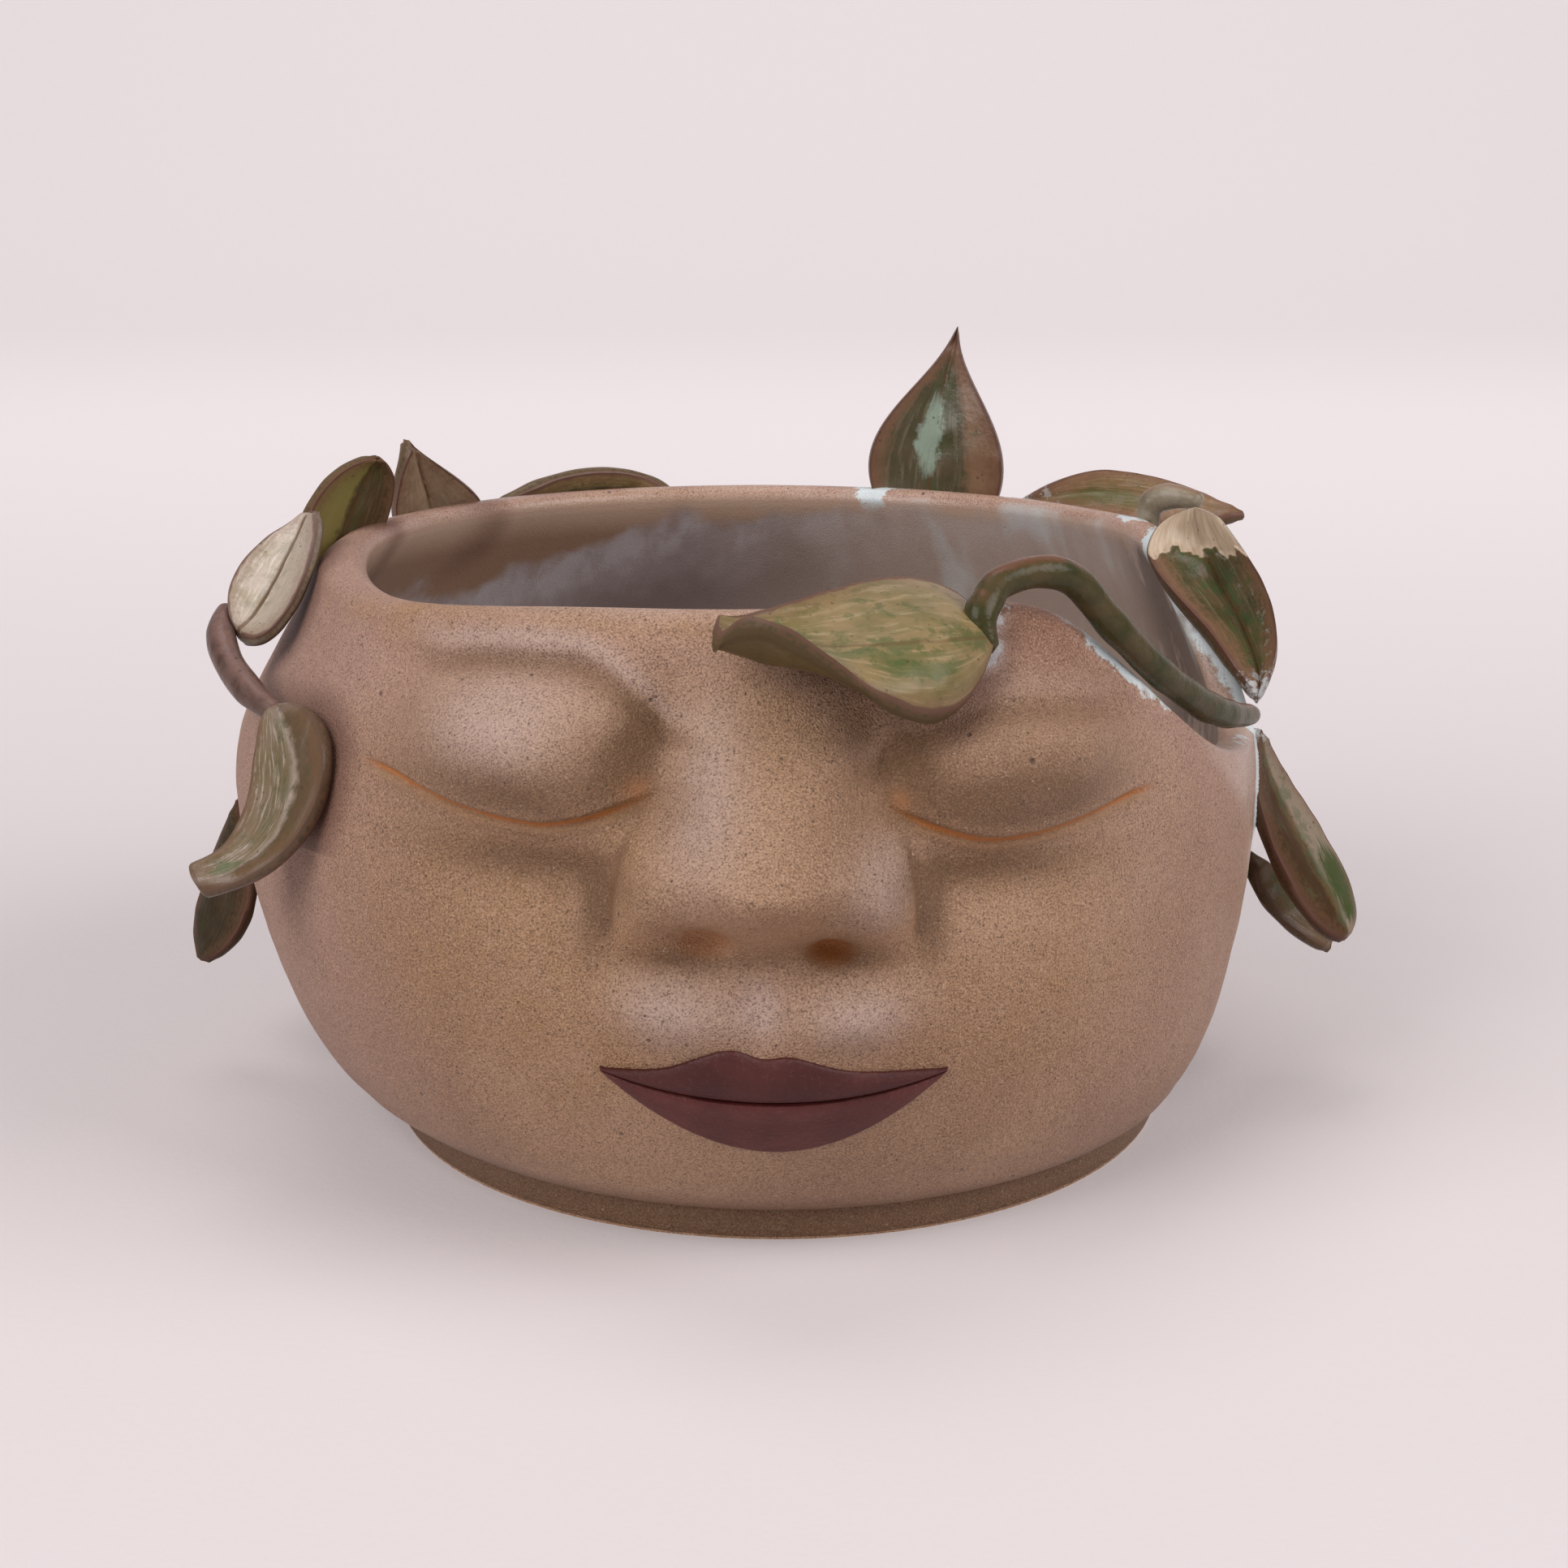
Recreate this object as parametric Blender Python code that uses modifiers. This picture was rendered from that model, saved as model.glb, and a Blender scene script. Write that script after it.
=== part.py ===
"""Face planter: a stoneware pot with a sleeping face, and a leafy vine laid round its rim.

The pot stands on the table at z = 0, with the middle of its foot at the origin.
The face looks along -Y, +X is to the right of someone who looks at the face.
Sizes are in metres, angles in degrees. An azimuth is measured about Z from +X, so the face is at -90.
"""
import math

import bmesh
import bpy
import numpy as np
from mathutils import Vector

COLLECTION = "face_planter"
CLEARANCE = 0.0003              # slip joint between pieces that touch
WELD = 0.000002                 # points closer than this are one point

# Pot body
BASE_THICKNESS = 0.0045
FOOT_RADIUS = 0.0580
BELLY_RADIUS = 0.0752
BELLY_HEIGHT = 0.0520
BELLY_FULLNESS = 0.56           # power of the curve below the belly, 0.5 for a quarter ellipse
MOUTH_RADIUS = 0.0625
MOUTH_HEIGHT = 0.0920           # where the shoulder would stop narrowing
WALL = 0.0050
FRONT_CREST = 0.0880
BACK_CREST = 0.0810
DIP_CREST = 0.0585              # lowest point of the rim, on the right
DIP_AZIMUTH = -12.0
DIP_TO_FRONT = 29.0             # half width of the dip toward the face
DIP_TO_BACK = 18.0              # half width of the dip toward the back
DIP_SQUARENESS = 3.4            # power of the dip, more for a flatter bottom and steeper sides
SAG_DEPTH = 0.0026              # the rim is lower to the left of the face
SAG_AZIMUTH = -146.0
SAG_SPREAD = 24.0
ROLL_THICKNESS = 0.0022         # how much thicker the wall is at the rim's left side
ROLL_AZIMUTH = -172.0
ROLL_SPREAD = 34.0
ROLL_DEPTH = 0.0180             # height over which the thick side thins out again
LEAN_BELLY = 0.0046             # the belly sags this far to the left of the foot
LEAN_MOUTH = 0.0020

# Drainage, hidden from the photographed side
DRAIN_RADIUS = 0.0035
DRAIN_CIRCLE = 0.0150
DRAIN_COUNT = 3

# Mesh of the pot
SEGMENTS = 88
FRONT_CROWDING = 0.55           # share by which the segments crowd toward the face
LOWER_ROWS = 17
UPPER_ROWS = 16
INNER_ROWS = 8
LIP_ROWS = 4

# Face, as distances across the wall from its middle line and heights above the table
FACE_AZIMUTH = -90.0
FACE_RADIUS = 0.0720            # radius at which distances across the wall are measured
FACE_CENTRE = -0.0010
FACE_TILT = 1.6
FACE_PIVOT_HEIGHT = 0.0550
NOSE_TIP_HEIGHT = 0.0585
NOSE_FOOT_HEIGHT = 0.0452
NOSE_ROOT_HEIGHT = 0.0840
NOSE_PROUD = 0.0116
NOSE_SIDE_PROUD = 0.0042
NOSE_WIDTH = 0.0108
NOSE_ROOT_WIDTH = 0.0130
NOSE_FOOT_WIDTH = 0.0168
NOSE_FLARE_LENGTH = 0.0150
RIDGE_FALL = 1.3                # a higher power draws the ridge back sooner towards the brow
RIDGE_SQUARENESS = 1.9
SIDES_FALL = 0.7
SIDES_SQUARENESS = 4.4
TIP_PROUD = 0.0020
TIP_SIZE = (0.0078, 0.0060)
WING_OFFSET = 0.0138
WING_HEIGHT = 0.0548
WING_PROUD = 0.0037
WING_SIZE = (0.0044, 0.0054)
NOSTRILS = ((-0.0073, 0.0502), (0.0076, 0.0484))
NOSTRIL_DEPTH = 0.0030
NOSTRIL_SIZE = (0.0034, 0.0020)
LID_INNER = 0.0140
LID_MIDDLE = 0.0290
LID_OUTER = 0.0545
LEFT_LID_HEIGHT = 0.0617
RIGHT_LID_HEIGHT = 0.0608
LID_INNER_RISE = 0.0050
LID_OUTER_RISE = 0.0026
LID_INNER_BEND = 1.5
LID_INNER_END = 1.3             # in lengths of the lid's inner half
LID_EDGE = 0.0018               # height over which the lid's edge steps back
LID_UNDERCUT = 0.36             # share of the ball that is left below the edge
LID_SWELL = 0.0074
EYEBALL_OFFSET = 0.0310
EYEBALL_HEIGHT = 0.0718
EYEBALL_INNER = 0.0150
EYEBALL_OUTER = 0.0200
EYEBALL_ABOVE = 0.0074
EYEBALL_BELOW = 0.0098
EYEBALL_SQUARENESS = 2.6
LEFT_CREASE_HEIGHT = 0.0800
RIGHT_CREASE_HEIGHT = 0.0766
CREASE_FALL = 0.0075
CREASE_DEPTH = 0.0013
CREASE_WIDTH = 0.0020
CREASE_REACH = 1.25             # length of the crease over that of the eyeball
CREASE_OUTER_FALL = 0.15        # fall of the crease's outer half, as a share of the inner one's
CREASE_OUTER_END = 1.4          # in lengths of the lid's inner half
SOCKET_OFFSET = 0.0145
SOCKET_HEIGHT = 0.0702
SOCKET_DEPTH = 0.0034
SOCKET_SIZE = (0.0050, 0.0085)
BAG_OFFSET = 0.0250
BAG_HEIGHT = 0.0556
BAG_DEPTH = 0.0022
BAG_SIZE = (0.0125, 0.0044)
BROW_OFFSET = 0.0300
BROW_HEIGHT = 0.0845
BROW_PROUD = 0.0010
BROW_SIZE = (0.0240, 0.0030)
CHEEK_OFFSET = 0.0400
CHEEK_HEIGHT = 0.0400
CHEEK_PROUD = 0.0012
CHEEK_SIZE = (0.0200, 0.0150)
MUZZLE_HEIGHT = 0.0330
MUZZLE_PROUD = 0.0034
MUZZLE_SIZE = (0.0210, 0.0115)
PAD_OFFSET = 0.0108
PAD_HEIGHT = 0.0398
PAD_PROUD = 0.0030
PAD_SIZE = (0.0080, 0.0048)
PHILTRUM_HEIGHT = 0.0405
PHILTRUM_DEPTH = 0.0014
PHILTRUM_SIZE = (0.0028, 0.0055)
RELIEF_FOOT_BLEND = 0.0080      # height over which the face fades out at the foot
RELIEF_RIM_BLEND = 0.0060

# Lips
MOUTH_HALF_WIDTH = 0.0220
MOUTH_CORNER_HEIGHT = 0.0305
MOUTH_CENTRE = 0.0019           # the mouth sits a little to the right of the nose
MOUTH_SAG = 0.0032              # how far the middle of the mouth line hangs below its corners
CUPID_OFFSET = 0.0049
CUPID_HEIGHT = 0.0353
CUPID_DIP = 0.0013
CUPID_SLOPE = -0.15             # the left peak of the bow is the higher one
CUPID_REACH = 0.0085            # half width of the bow where it meets the thin sides of the lip
UPPER_LIP_SIDE_RISE = 0.0016
LOWER_LIP_DEPTH = 0.0089
LIP_THICKNESS = 0.0016
LIP_EDGE = 0.0004               # thickness and least height of a lip at its edges
LIP_REACH = 0.985               # share of the mouth's half width that the strips fill
MOUTH_SAG_FULLNESS = 2.2
LOWER_LIP_FULLNESS = 1.9
SIDE_RISE_FULLNESS = 0.8
CUPID_SQUARENESS = 2.6
LIP_TAPER = 0.7                 # a lower power keeps a lip thick nearer to its corners
LIP_ROUNDING = 0.6              # a lower power makes a lip's section squarer
LIP_LEANING = 0.8               # below 1, a lip is thickest nearer to the line of the mouth
LIP_COLUMNS = 22
LIP_CROSS_ROWS = 4

# Leaves and vines
LEAF_THICKNESS = 0.0029
LEAF_END_THICKNESS = 0.0016
LEAF_END_TRIM = 0.03            # share of a leaf's length that is left off at each end, so the ends are blunt
LEAF_STEADY = 0.18              # share of its length at each end over which a leaf doesn't twist
LEAF_STEEPEST = 0.7             # cosine of the steepest fold that the slab keeps its thickness on
LEAF_EDGE_THINNING = 0.45       # share of the thickness that a leaf loses toward its edge
LEAF_STEPS = 10
LEAF_WING_STEPS = 3
VINE_RADIUS = 0.0021
VINE_STEPS_PER_SPAN = 3
VINE_END_TAPER = 0.65


def smooth_step(t):
    """Ramp from 0 to 1 with flat ends."""
    t = np.clip(t, 0.0, 1.0)
    return t * t * (3.0 - 2.0 * t)


def turned(azimuth, start):
    """Angle from one azimuth to another, the short way round."""
    return (azimuth - start + 180.0) % 360.0 - 180.0


def swell(across, height, middle, size):
    """Soft round swelling, 1 at its middle."""
    return np.exp(-((across - middle[0]) / size[0]) ** 2 - ((height - middle[1]) / size[1]) ** 2)


# Pot surface

def foot_height():
    return BASE_THICKNESS + CLEARANCE


def profile_radius(z):
    """Radius of the turned pot at a height: a quarter ellipse to the belly, then an easy shoulder."""
    low = np.clip((BELLY_HEIGHT - z) / (BELLY_HEIGHT - foot_height()), 0.0, 1.0)
    high = np.clip((z - BELLY_HEIGHT) / (MOUTH_HEIGHT - BELLY_HEIGHT), 0.0, 1.0)
    below = FOOT_RADIUS + (BELLY_RADIUS - FOOT_RADIUS) * (1.0 - low ** 2) ** BELLY_FULLNESS
    above = MOUTH_RADIUS + (BELLY_RADIUS - MOUTH_RADIUS) * (0.5 + 0.5 * np.cos(math.pi * high))
    return np.where(z < BELLY_HEIGHT, below, above)


def lean(z):
    """How far the pot's round sags to the left at a height."""
    rise = np.sin(0.5 * math.pi * np.clip(z / BELLY_HEIGHT, 0.0, 1.0))
    back = smooth_step((z - BELLY_HEIGHT) / (MOUTH_HEIGHT - BELLY_HEIGHT))
    return LEAN_BELLY * rise + (LEAN_MOUTH - LEAN_BELLY) * back


def crest_height(azimuth):
    """Height of the rim: higher over the face, lower at the back, cut down on the right."""
    angle = np.radians(azimuth)
    level = 0.5 * (FRONT_CREST + BACK_CREST) - 0.5 * (FRONT_CREST - BACK_CREST) * np.sin(angle)
    turn = turned(azimuth, DIP_AZIMUTH)
    spread = np.where(turn < 0.0, DIP_TO_FRONT, DIP_TO_BACK)
    depth = 0.5 * (FRONT_CREST + BACK_CREST) - DIP_CREST
    sag = SAG_DEPTH * np.exp(-(turned(azimuth, SAG_AZIMUTH) / SAG_SPREAD) ** 2)
    return level - sag - depth * np.exp(-math.log(2.0) * np.abs(turn / spread) ** DIP_SQUARENESS)


def face_place(azimuth, z):
    """Distance across and height in the frame of the face, which is tilted a little."""
    across = np.radians(turned(azimuth, FACE_AZIMUTH)) * FACE_RADIUS - FACE_CENTRE
    above = z - FACE_PIVOT_HEIGHT
    tilt = math.radians(FACE_TILT)
    return (across * math.cos(tilt) - above * math.sin(tilt),
            FACE_PIVOT_HEIGHT + across * math.sin(tilt) + above * math.cos(tilt))


def nose(across, height):
    """Soft ridge from the brow to a round tip, over side walls that widen into two wings."""
    up = np.clip((height - NOSE_TIP_HEIGHT) / (NOSE_ROOT_HEIGHT - NOSE_TIP_HEIGHT), 0.0, 1.0)
    under = smooth_step((height - NOSE_FOOT_HEIGHT) / (NOSE_TIP_HEIGHT - NOSE_FOOT_HEIGHT))
    fall = np.where(height < NOSE_TIP_HEIGHT, under, (1.0 - up) ** RIDGE_FALL)
    ridge = (NOSE_PROUD - NOSE_SIDE_PROUD) * fall * np.exp(-np.abs(across / NOSE_WIDTH) ** RIDGE_SQUARENESS)
    flare = smooth_step(1.0 - (height - WING_HEIGHT) / NOSE_FLARE_LENGTH)
    spread = NOSE_ROOT_WIDTH + (NOSE_FOOT_WIDTH - NOSE_ROOT_WIDTH) * flare
    sides = NOSE_SIDE_PROUD * fall ** SIDES_FALL * np.exp(-np.abs(across / spread) ** SIDES_SQUARENESS)
    form = ridge + sides + TIP_PROUD * swell(across, height, (0.0, NOSE_TIP_HEIGHT), TIP_SIZE)
    for side in (-1.0, 1.0):
        form = form + WING_PROUD * swell(across, height, (side * WING_OFFSET, WING_HEIGHT), WING_SIZE)
    for nostril in NOSTRILS:
        form = form - NOSTRIL_DEPTH * swell(across, height, nostril, NOSTRIL_SIZE)
    return form


def lid_line(across):
    """Height of the closed lid's edge at a distance from the middle of the face."""
    reach = np.abs(across) - LID_MIDDLE
    share = np.clip(-reach / (LID_MIDDLE - LID_INNER), 0.0, LID_INNER_END)
    inner = LID_INNER_RISE * share ** LID_INNER_BEND
    outer = LID_OUTER_RISE * smooth_step(reach / (LID_OUTER - LID_MIDDLE))
    return np.where(across < 0.0, LEFT_LID_HEIGHT, RIGHT_LID_HEIGHT) + inner + outer


def crease_line(across):
    """Height of the soft crease over a lid."""
    share = np.clip((np.abs(across) - LID_MIDDLE) / (LID_MIDDLE - LID_INNER), -1.0, CREASE_OUTER_END)
    top = np.where(across < 0.0, LEFT_CREASE_HEIGHT, RIGHT_CREASE_HEIGHT)
    return top - CREASE_FALL * share ** 2 * np.where(share < 0.0, 1.0, CREASE_OUTER_FALL)


def eyelids(across, height):
    """Two closed lids: a soft ball under each, cut off below the lid's edge, with a crease above."""
    reach = np.abs(across) - EYEBALL_OFFSET
    half = np.where(reach < 0.0, EYEBALL_INNER, EYEBALL_OUTER)
    tall = np.where(height < EYEBALL_HEIGHT, EYEBALL_BELOW, EYEBALL_ABOVE)
    wide = np.abs(reach / half) ** EYEBALL_SQUARENESS
    ball = LID_SWELL * np.exp(-wide - ((height - EYEBALL_HEIGHT) / tall) ** 2)
    over = smooth_step(0.5 + (height - lid_line(across)) / LID_EDGE)
    lids = ball * (LID_UNDERCUT + (1.0 - LID_UNDERCUT) * over)
    away = np.exp(-(reach / (CREASE_REACH * half)) ** 4)
    crease = CREASE_DEPTH * away * np.exp(-((height - crease_line(across)) / CREASE_WIDTH) ** 2)
    return lids - crease


def sockets(across, height):
    """Hollows beside the root of the nose and under the lids, and the brow over them."""
    form = 0.0 * across
    for side in (-1.0, 1.0):
        form = form - SOCKET_DEPTH * swell(across, height, (side * SOCKET_OFFSET, SOCKET_HEIGHT), SOCKET_SIZE)
        form = form - BAG_DEPTH * swell(across, height, (side * BAG_OFFSET, BAG_HEIGHT), BAG_SIZE)
        form = form + BROW_PROUD * swell(across, height, (side * BROW_OFFSET, BROW_HEIGHT), BROW_SIZE)
    return form


def relief(azimuth, z):
    """How far the face stands proud of the turned pot."""
    across, height = face_place(azimuth, z)
    form = nose(across, height) + eyelids(across, height) + sockets(across, height)
    for side in (-1.0, 1.0):
        form = form + CHEEK_PROUD * swell(across, height, (side * CHEEK_OFFSET, CHEEK_HEIGHT), CHEEK_SIZE)
        form = form + PAD_PROUD * swell(across, height, (side * PAD_OFFSET, PAD_HEIGHT), PAD_SIZE)
    form = form + MUZZLE_PROUD * swell(across, height, (0.0, MUZZLE_HEIGHT), MUZZLE_SIZE)
    form = form - PHILTRUM_DEPTH * swell(across, height, (0.0, PHILTRUM_HEIGHT), PHILTRUM_SIZE)
    at_foot = smooth_step((z - foot_height()) / RELIEF_FOOT_BLEND)
    at_rim = smooth_step((crest_height(azimuth) - z) / RELIEF_RIM_BLEND)
    return form * at_foot * at_rim


def rim_roll(azimuth, z):
    """Extra thickness of the wall on the inside, at the thick side of the rim."""
    near_rim = np.exp(-((crest_height(azimuth) - z) / ROLL_DEPTH) ** 2)
    return ROLL_THICKNESS * near_rim * np.exp(-(turned(azimuth, ROLL_AZIMUTH) / ROLL_SPREAD) ** 2)


def wall_radius(azimuth, z):
    """Distance of the finished outer surface from the Z axis."""
    return profile_radius(z) - lean(z) * np.cos(np.radians(azimuth)) + relief(azimuth, z)


def wall_point(azimuth, height, off=0.0):
    """Point that stands off the outer surface by a distance."""
    radius = float(wall_radius(np.float64(azimuth), np.float64(height))) + off
    angle = math.radians(azimuth)
    return Vector((radius * math.cos(angle), radius * math.sin(angle), height))


def rim_point(azimuth, below, off=0.0):
    """Point that stands off the outer surface, at a distance below the rim; above it where that is negative."""
    return wall_point(azimuth, float(crest_height(np.float64(azimuth))) - below, off)


def wall_section(grow):
    """Closed section of the turned wall at +X, down its outer side and up its inner side.

    With a growth, the section is that much larger all round, for seating other pieces.
    """
    bottom = foot_height() - grow
    half = 0.5 * WALL + grow
    top = FRONT_CREST + grow
    shoulder = top - half
    outer = []
    for row in range(UPPER_ROWS):
        z = shoulder + (BELLY_HEIGHT - shoulder) * row / UPPER_ROWS
        outer.append((float(profile_radius(z)) + grow, z))
    for row in range(LOWER_ROWS):
        angle = 0.5 * math.pi * row / LOWER_ROWS
        z = BELLY_HEIGHT - (BELLY_HEIGHT - foot_height()) * math.sin(angle)
        outer.append((float(profile_radius(z)) + grow, z))
    outer.append((FOOT_RADIUS + grow, bottom))
    inner = []
    for row in range(INNER_ROWS + 1):
        z = bottom + (shoulder - bottom) * row / INNER_ROWS
        inner.append((float(profile_radius(max(z, foot_height()))) - WALL - grow, z))
    lip = []
    middle = float(profile_radius(shoulder)) - 0.5 * WALL
    for row in range(1, LIP_ROWS):
        angle = math.pi * (1.0 - row / LIP_ROWS)
        lip.append((middle + half * math.cos(angle), shoulder + half * math.sin(angle)))
    return outer + inner + lip


def press_into_shape(points, grow):
    """Move the turned wall's points out of round, as hands do: lean, rim and face."""
    swing = turned(np.degrees(np.arctan2(points[:, 1], points[:, 0])), FACE_AZIMUTH)
    azimuth = FACE_AZIMUTH + swing - math.degrees(FRONT_CROWDING) * np.sin(np.radians(swing))
    radius = np.hypot(points[:, 0], points[:, 1])
    z = points[:, 2]
    share = np.clip((z - foot_height()) / (FRONT_CREST - foot_height()), 0.0, None)
    height = np.where(z > foot_height(), foot_height() + share * (crest_height(azimuth) - foot_height()), z)
    depth = np.clip((profile_radius(z) - radius) / WALL, 0.0, 1.0)
    moved = profile_radius(height) - profile_radius(z) - lean(height) * np.cos(np.radians(azimuth))
    radius = radius + moved + relief(azimuth, height) * (1.0 - depth) - rim_roll(azimuth, height) * depth
    angle = np.radians(azimuth)
    return np.column_stack((radius * np.cos(angle), radius * np.sin(angle), height))


# Objects

def fresh_collections():
    """Empty scene with one collection for the parts and one for the cutters."""
    for obj in list(bpy.data.objects):
        bpy.data.objects.remove(obj, do_unlink=True)
    parts = bpy.data.collections.new(COLLECTION)
    cutters = bpy.data.collections.new("cutters")
    bpy.context.scene.collection.children.link(parts)
    bpy.context.scene.collection.children.link(cutters)
    return parts, cutters


def clay(name, colour, roughness):
    """Fired clay or glaze of one colour."""
    material = bpy.data.materials.new(name)
    material.use_nodes = True
    shader = material.node_tree.nodes["Principled BSDF"]
    shader.inputs["Base Color"].default_value = (*colour, 1.0)
    shader.inputs["Roughness"].default_value = roughness
    shader.inputs["Metallic"].default_value = 0.0
    return material


def add_object(name, data, collection, material=None):
    obj = bpy.data.objects.new(name, data)
    collection.objects.link(obj)
    if material is not None:
        data.materials.clear()
        data.materials.append(material)
    return obj


def make_cutter(obj):
    obj.hide_render = True
    obj.display_type = "WIRE"
    return obj


def solid_mesh(obj, name):
    """Mesh of an object with its modifiers or bevel, welded."""
    graph = bpy.context.evaluated_depsgraph_get()
    mesh = bpy.data.meshes.new_from_object(obj.evaluated_get(graph))
    mesh.name = name
    shape = bmesh.new()
    shape.from_mesh(mesh)
    bmesh.ops.remove_doubles(shape, verts=shape.verts, dist=WELD)
    bmesh.ops.recalc_face_normals(shape, faces=shape.faces)
    shape.to_mesh(mesh)
    shape.free()
    return mesh


def keep_largest(mesh):
    """Drop the crumbs that a cut leaves beside the main body."""
    shape = bmesh.new()
    shape.from_mesh(mesh)
    left = set(shape.verts)
    islands = []
    while left:
        stack = [left.pop()]
        island = set(stack)
        while stack:
            vert = stack.pop()
            for edge in vert.link_edges:
                other = edge.other_vert(vert)
                if other in left:
                    left.discard(other)
                    island.add(other)
                    stack.append(other)
        islands.append(island)
    islands.sort(key=len)
    for island in islands[:-1]:
        bmesh.ops.delete(shape, geom=list(island), context="VERTS")
    shape.to_mesh(mesh)
    shape.free()


def finish(obj, material, sharp_angle=50.0):
    obj.data.materials.clear()
    obj.data.materials.append(material)
    obj.data.shade_smooth()
    obj.data.set_sharp_from_angle(angle=math.radians(sharp_angle))
    return obj


def seat(obj, cutters):
    """Cut a piece back from what it is luted to, and keep its main body."""
    for cutter in cutters:
        cut = obj.modifiers.new("seat", "BOOLEAN")
        cut.operation = "DIFFERENCE"
        cut.solver = "EXACT"
        cut.object = cutter
    mesh = solid_mesh(obj, obj.name)
    keep_largest(mesh)
    old = obj.data
    obj.modifiers.clear()
    obj.data = mesh
    bpy.data.meshes.remove(old)
    return obj


def turned_wall(name, collection, grow):
    """Wall turned from its section, then pressed into shape."""
    section = wall_section(grow)
    mesh = bpy.data.meshes.new(name + "_section")
    count = len(section)
    mesh.from_pydata([(r, 0.0, z) for r, z in section], [(i, (i + 1) % count) for i in range(count)], [])
    blank = add_object(name + "_blank", mesh, collection)
    screw = blank.modifiers.new("turn", "SCREW")
    screw.axis = "Z"
    screw.angle = math.tau
    screw.steps = SEGMENTS
    screw.render_steps = SEGMENTS
    screw.use_merge_vertices = True
    screw.merge_threshold = 0.00001
    wall = solid_mesh(blank, name)
    bpy.data.objects.remove(blank, do_unlink=True)
    points = np.empty(len(wall.vertices) * 3)
    wall.vertices.foreach_get("co", points)
    wall.vertices.foreach_set("co", press_into_shape(points.reshape(-1, 3), grow).ravel())
    wall.update()
    return add_object(name, wall, collection)


def base_slab(collection, cutters):
    """Disc of clay under the wall, with drain holes round its middle."""
    bpy.ops.mesh.primitive_cylinder_add(vertices=SEGMENTS, radius=FOOT_RADIUS, depth=BASE_THICKNESS,
                                        location=(0.0, 0.0, 0.5 * BASE_THICKNESS))
    slab = bpy.context.object
    slab.name = "base_slab"
    slab.data.name = "base_slab"
    for owner in list(slab.users_collection):
        owner.objects.unlink(slab)
    collection.objects.link(slab)
    for number in range(DRAIN_COUNT):
        angle = math.tau * (number + 0.25) / DRAIN_COUNT
        bpy.ops.mesh.primitive_cylinder_add(
            vertices=24, radius=DRAIN_RADIUS, depth=3.0 * BASE_THICKNESS,
            location=(DRAIN_CIRCLE * math.cos(angle), DRAIN_CIRCLE * math.sin(angle), 0.5 * BASE_THICKNESS))
        drill = make_cutter(bpy.context.object)
        drill.name = f"drain_cutter_{number + 1}"
        for owner in list(drill.users_collection):
            owner.objects.unlink(drill)
        cutters.objects.link(drill)
        hole = slab.modifiers.new(f"drain_{number + 1}", "BOOLEAN")
        hole.operation = "DIFFERENCE"
        hole.solver = "EXACT"
        hole.object = drill
    return slab


# Lips

def mouth_share(across):
    """Distance from the middle of the mouth as a share of its half width."""
    return np.clip(np.abs(across - MOUTH_CENTRE) / MOUTH_HALF_WIDTH, 0.0, 1.0)


def mouth_line(across):
    """Height of the line between the lips, in the frame of the face."""
    return MOUTH_CORNER_HEIGHT - MOUTH_SAG * (1.0 - mouth_share(across) ** MOUTH_SAG_FULLNESS)


def upper_lip_line(across):
    """Top of the upper lip: two peaks under the nose with a dip between them, falling to the corners."""
    side = UPPER_LIP_SIDE_RISE * (1.0 - mouth_share(across)) ** SIDE_RISE_FULLNESS
    rise = CUPID_HEIGHT - MOUTH_CORNER_HEIGHT - side
    bow = np.exp(-np.abs(across / CUPID_REACH) ** CUPID_SQUARENESS)
    dip = CUPID_DIP * np.exp(-(across / (0.5 * CUPID_OFFSET)) ** 2)
    return MOUTH_CORNER_HEIGHT + side + (rise + CUPID_SLOPE * across) * bow - dip


def lower_lip_line(across):
    """Bottom of the lower lip."""
    return mouth_line(across) - LOWER_LIP_DEPTH * (1.0 - mouth_share(across) ** LOWER_LIP_FULLNESS)


def on_face(across, height, off):
    """Point off the wall from its place in the frame of the face."""
    tilt = math.radians(FACE_TILT)
    above = height - FACE_PIVOT_HEIGHT
    level = across * math.cos(tilt) + above * math.sin(tilt)
    z = FACE_PIVOT_HEIGHT - across * math.sin(tilt) + above * math.cos(tilt)
    azimuth = math.degrees((level + FACE_CENTRE) / FACE_RADIUS) + FACE_AZIMUTH
    return wall_point(azimuth, z, off)


def closed_sheet(name, front, back, collection, material):
    """Loft closed on both sides: two grids of points that face each other, joined round their edge."""
    shape = bmesh.new()
    rows = len(front)
    columns = len(front[0])
    fronts = [[shape.verts.new(point) for point in row] for row in front]
    backs = [[shape.verts.new(point) for point in row] for row in back]
    for i in range(rows - 1):
        for j in range(columns - 1):
            shape.faces.new((fronts[i][j], fronts[i][j + 1], fronts[i + 1][j + 1], fronts[i + 1][j]))
            shape.faces.new((backs[i][j], backs[i + 1][j], backs[i + 1][j + 1], backs[i][j + 1]))
    rim = [(0, j) for j in range(columns - 1)] + [(i, columns - 1) for i in range(rows - 1)]
    rim += [(rows - 1, j) for j in range(columns - 1, 0, -1)] + [(i, 0) for i in range(rows - 1, 0, -1)]
    for (i, j), (k, m) in zip(rim, rim[1:] + rim[:1]):
        shape.faces.new((fronts[i][j], backs[i][j], backs[k][m], fronts[k][m]))
    bmesh.ops.recalc_face_normals(shape, faces=shape.faces)
    mesh = bpy.data.meshes.new(name)
    shape.to_mesh(mesh)
    shape.free()
    return add_object(name, mesh, collection, material)


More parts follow.
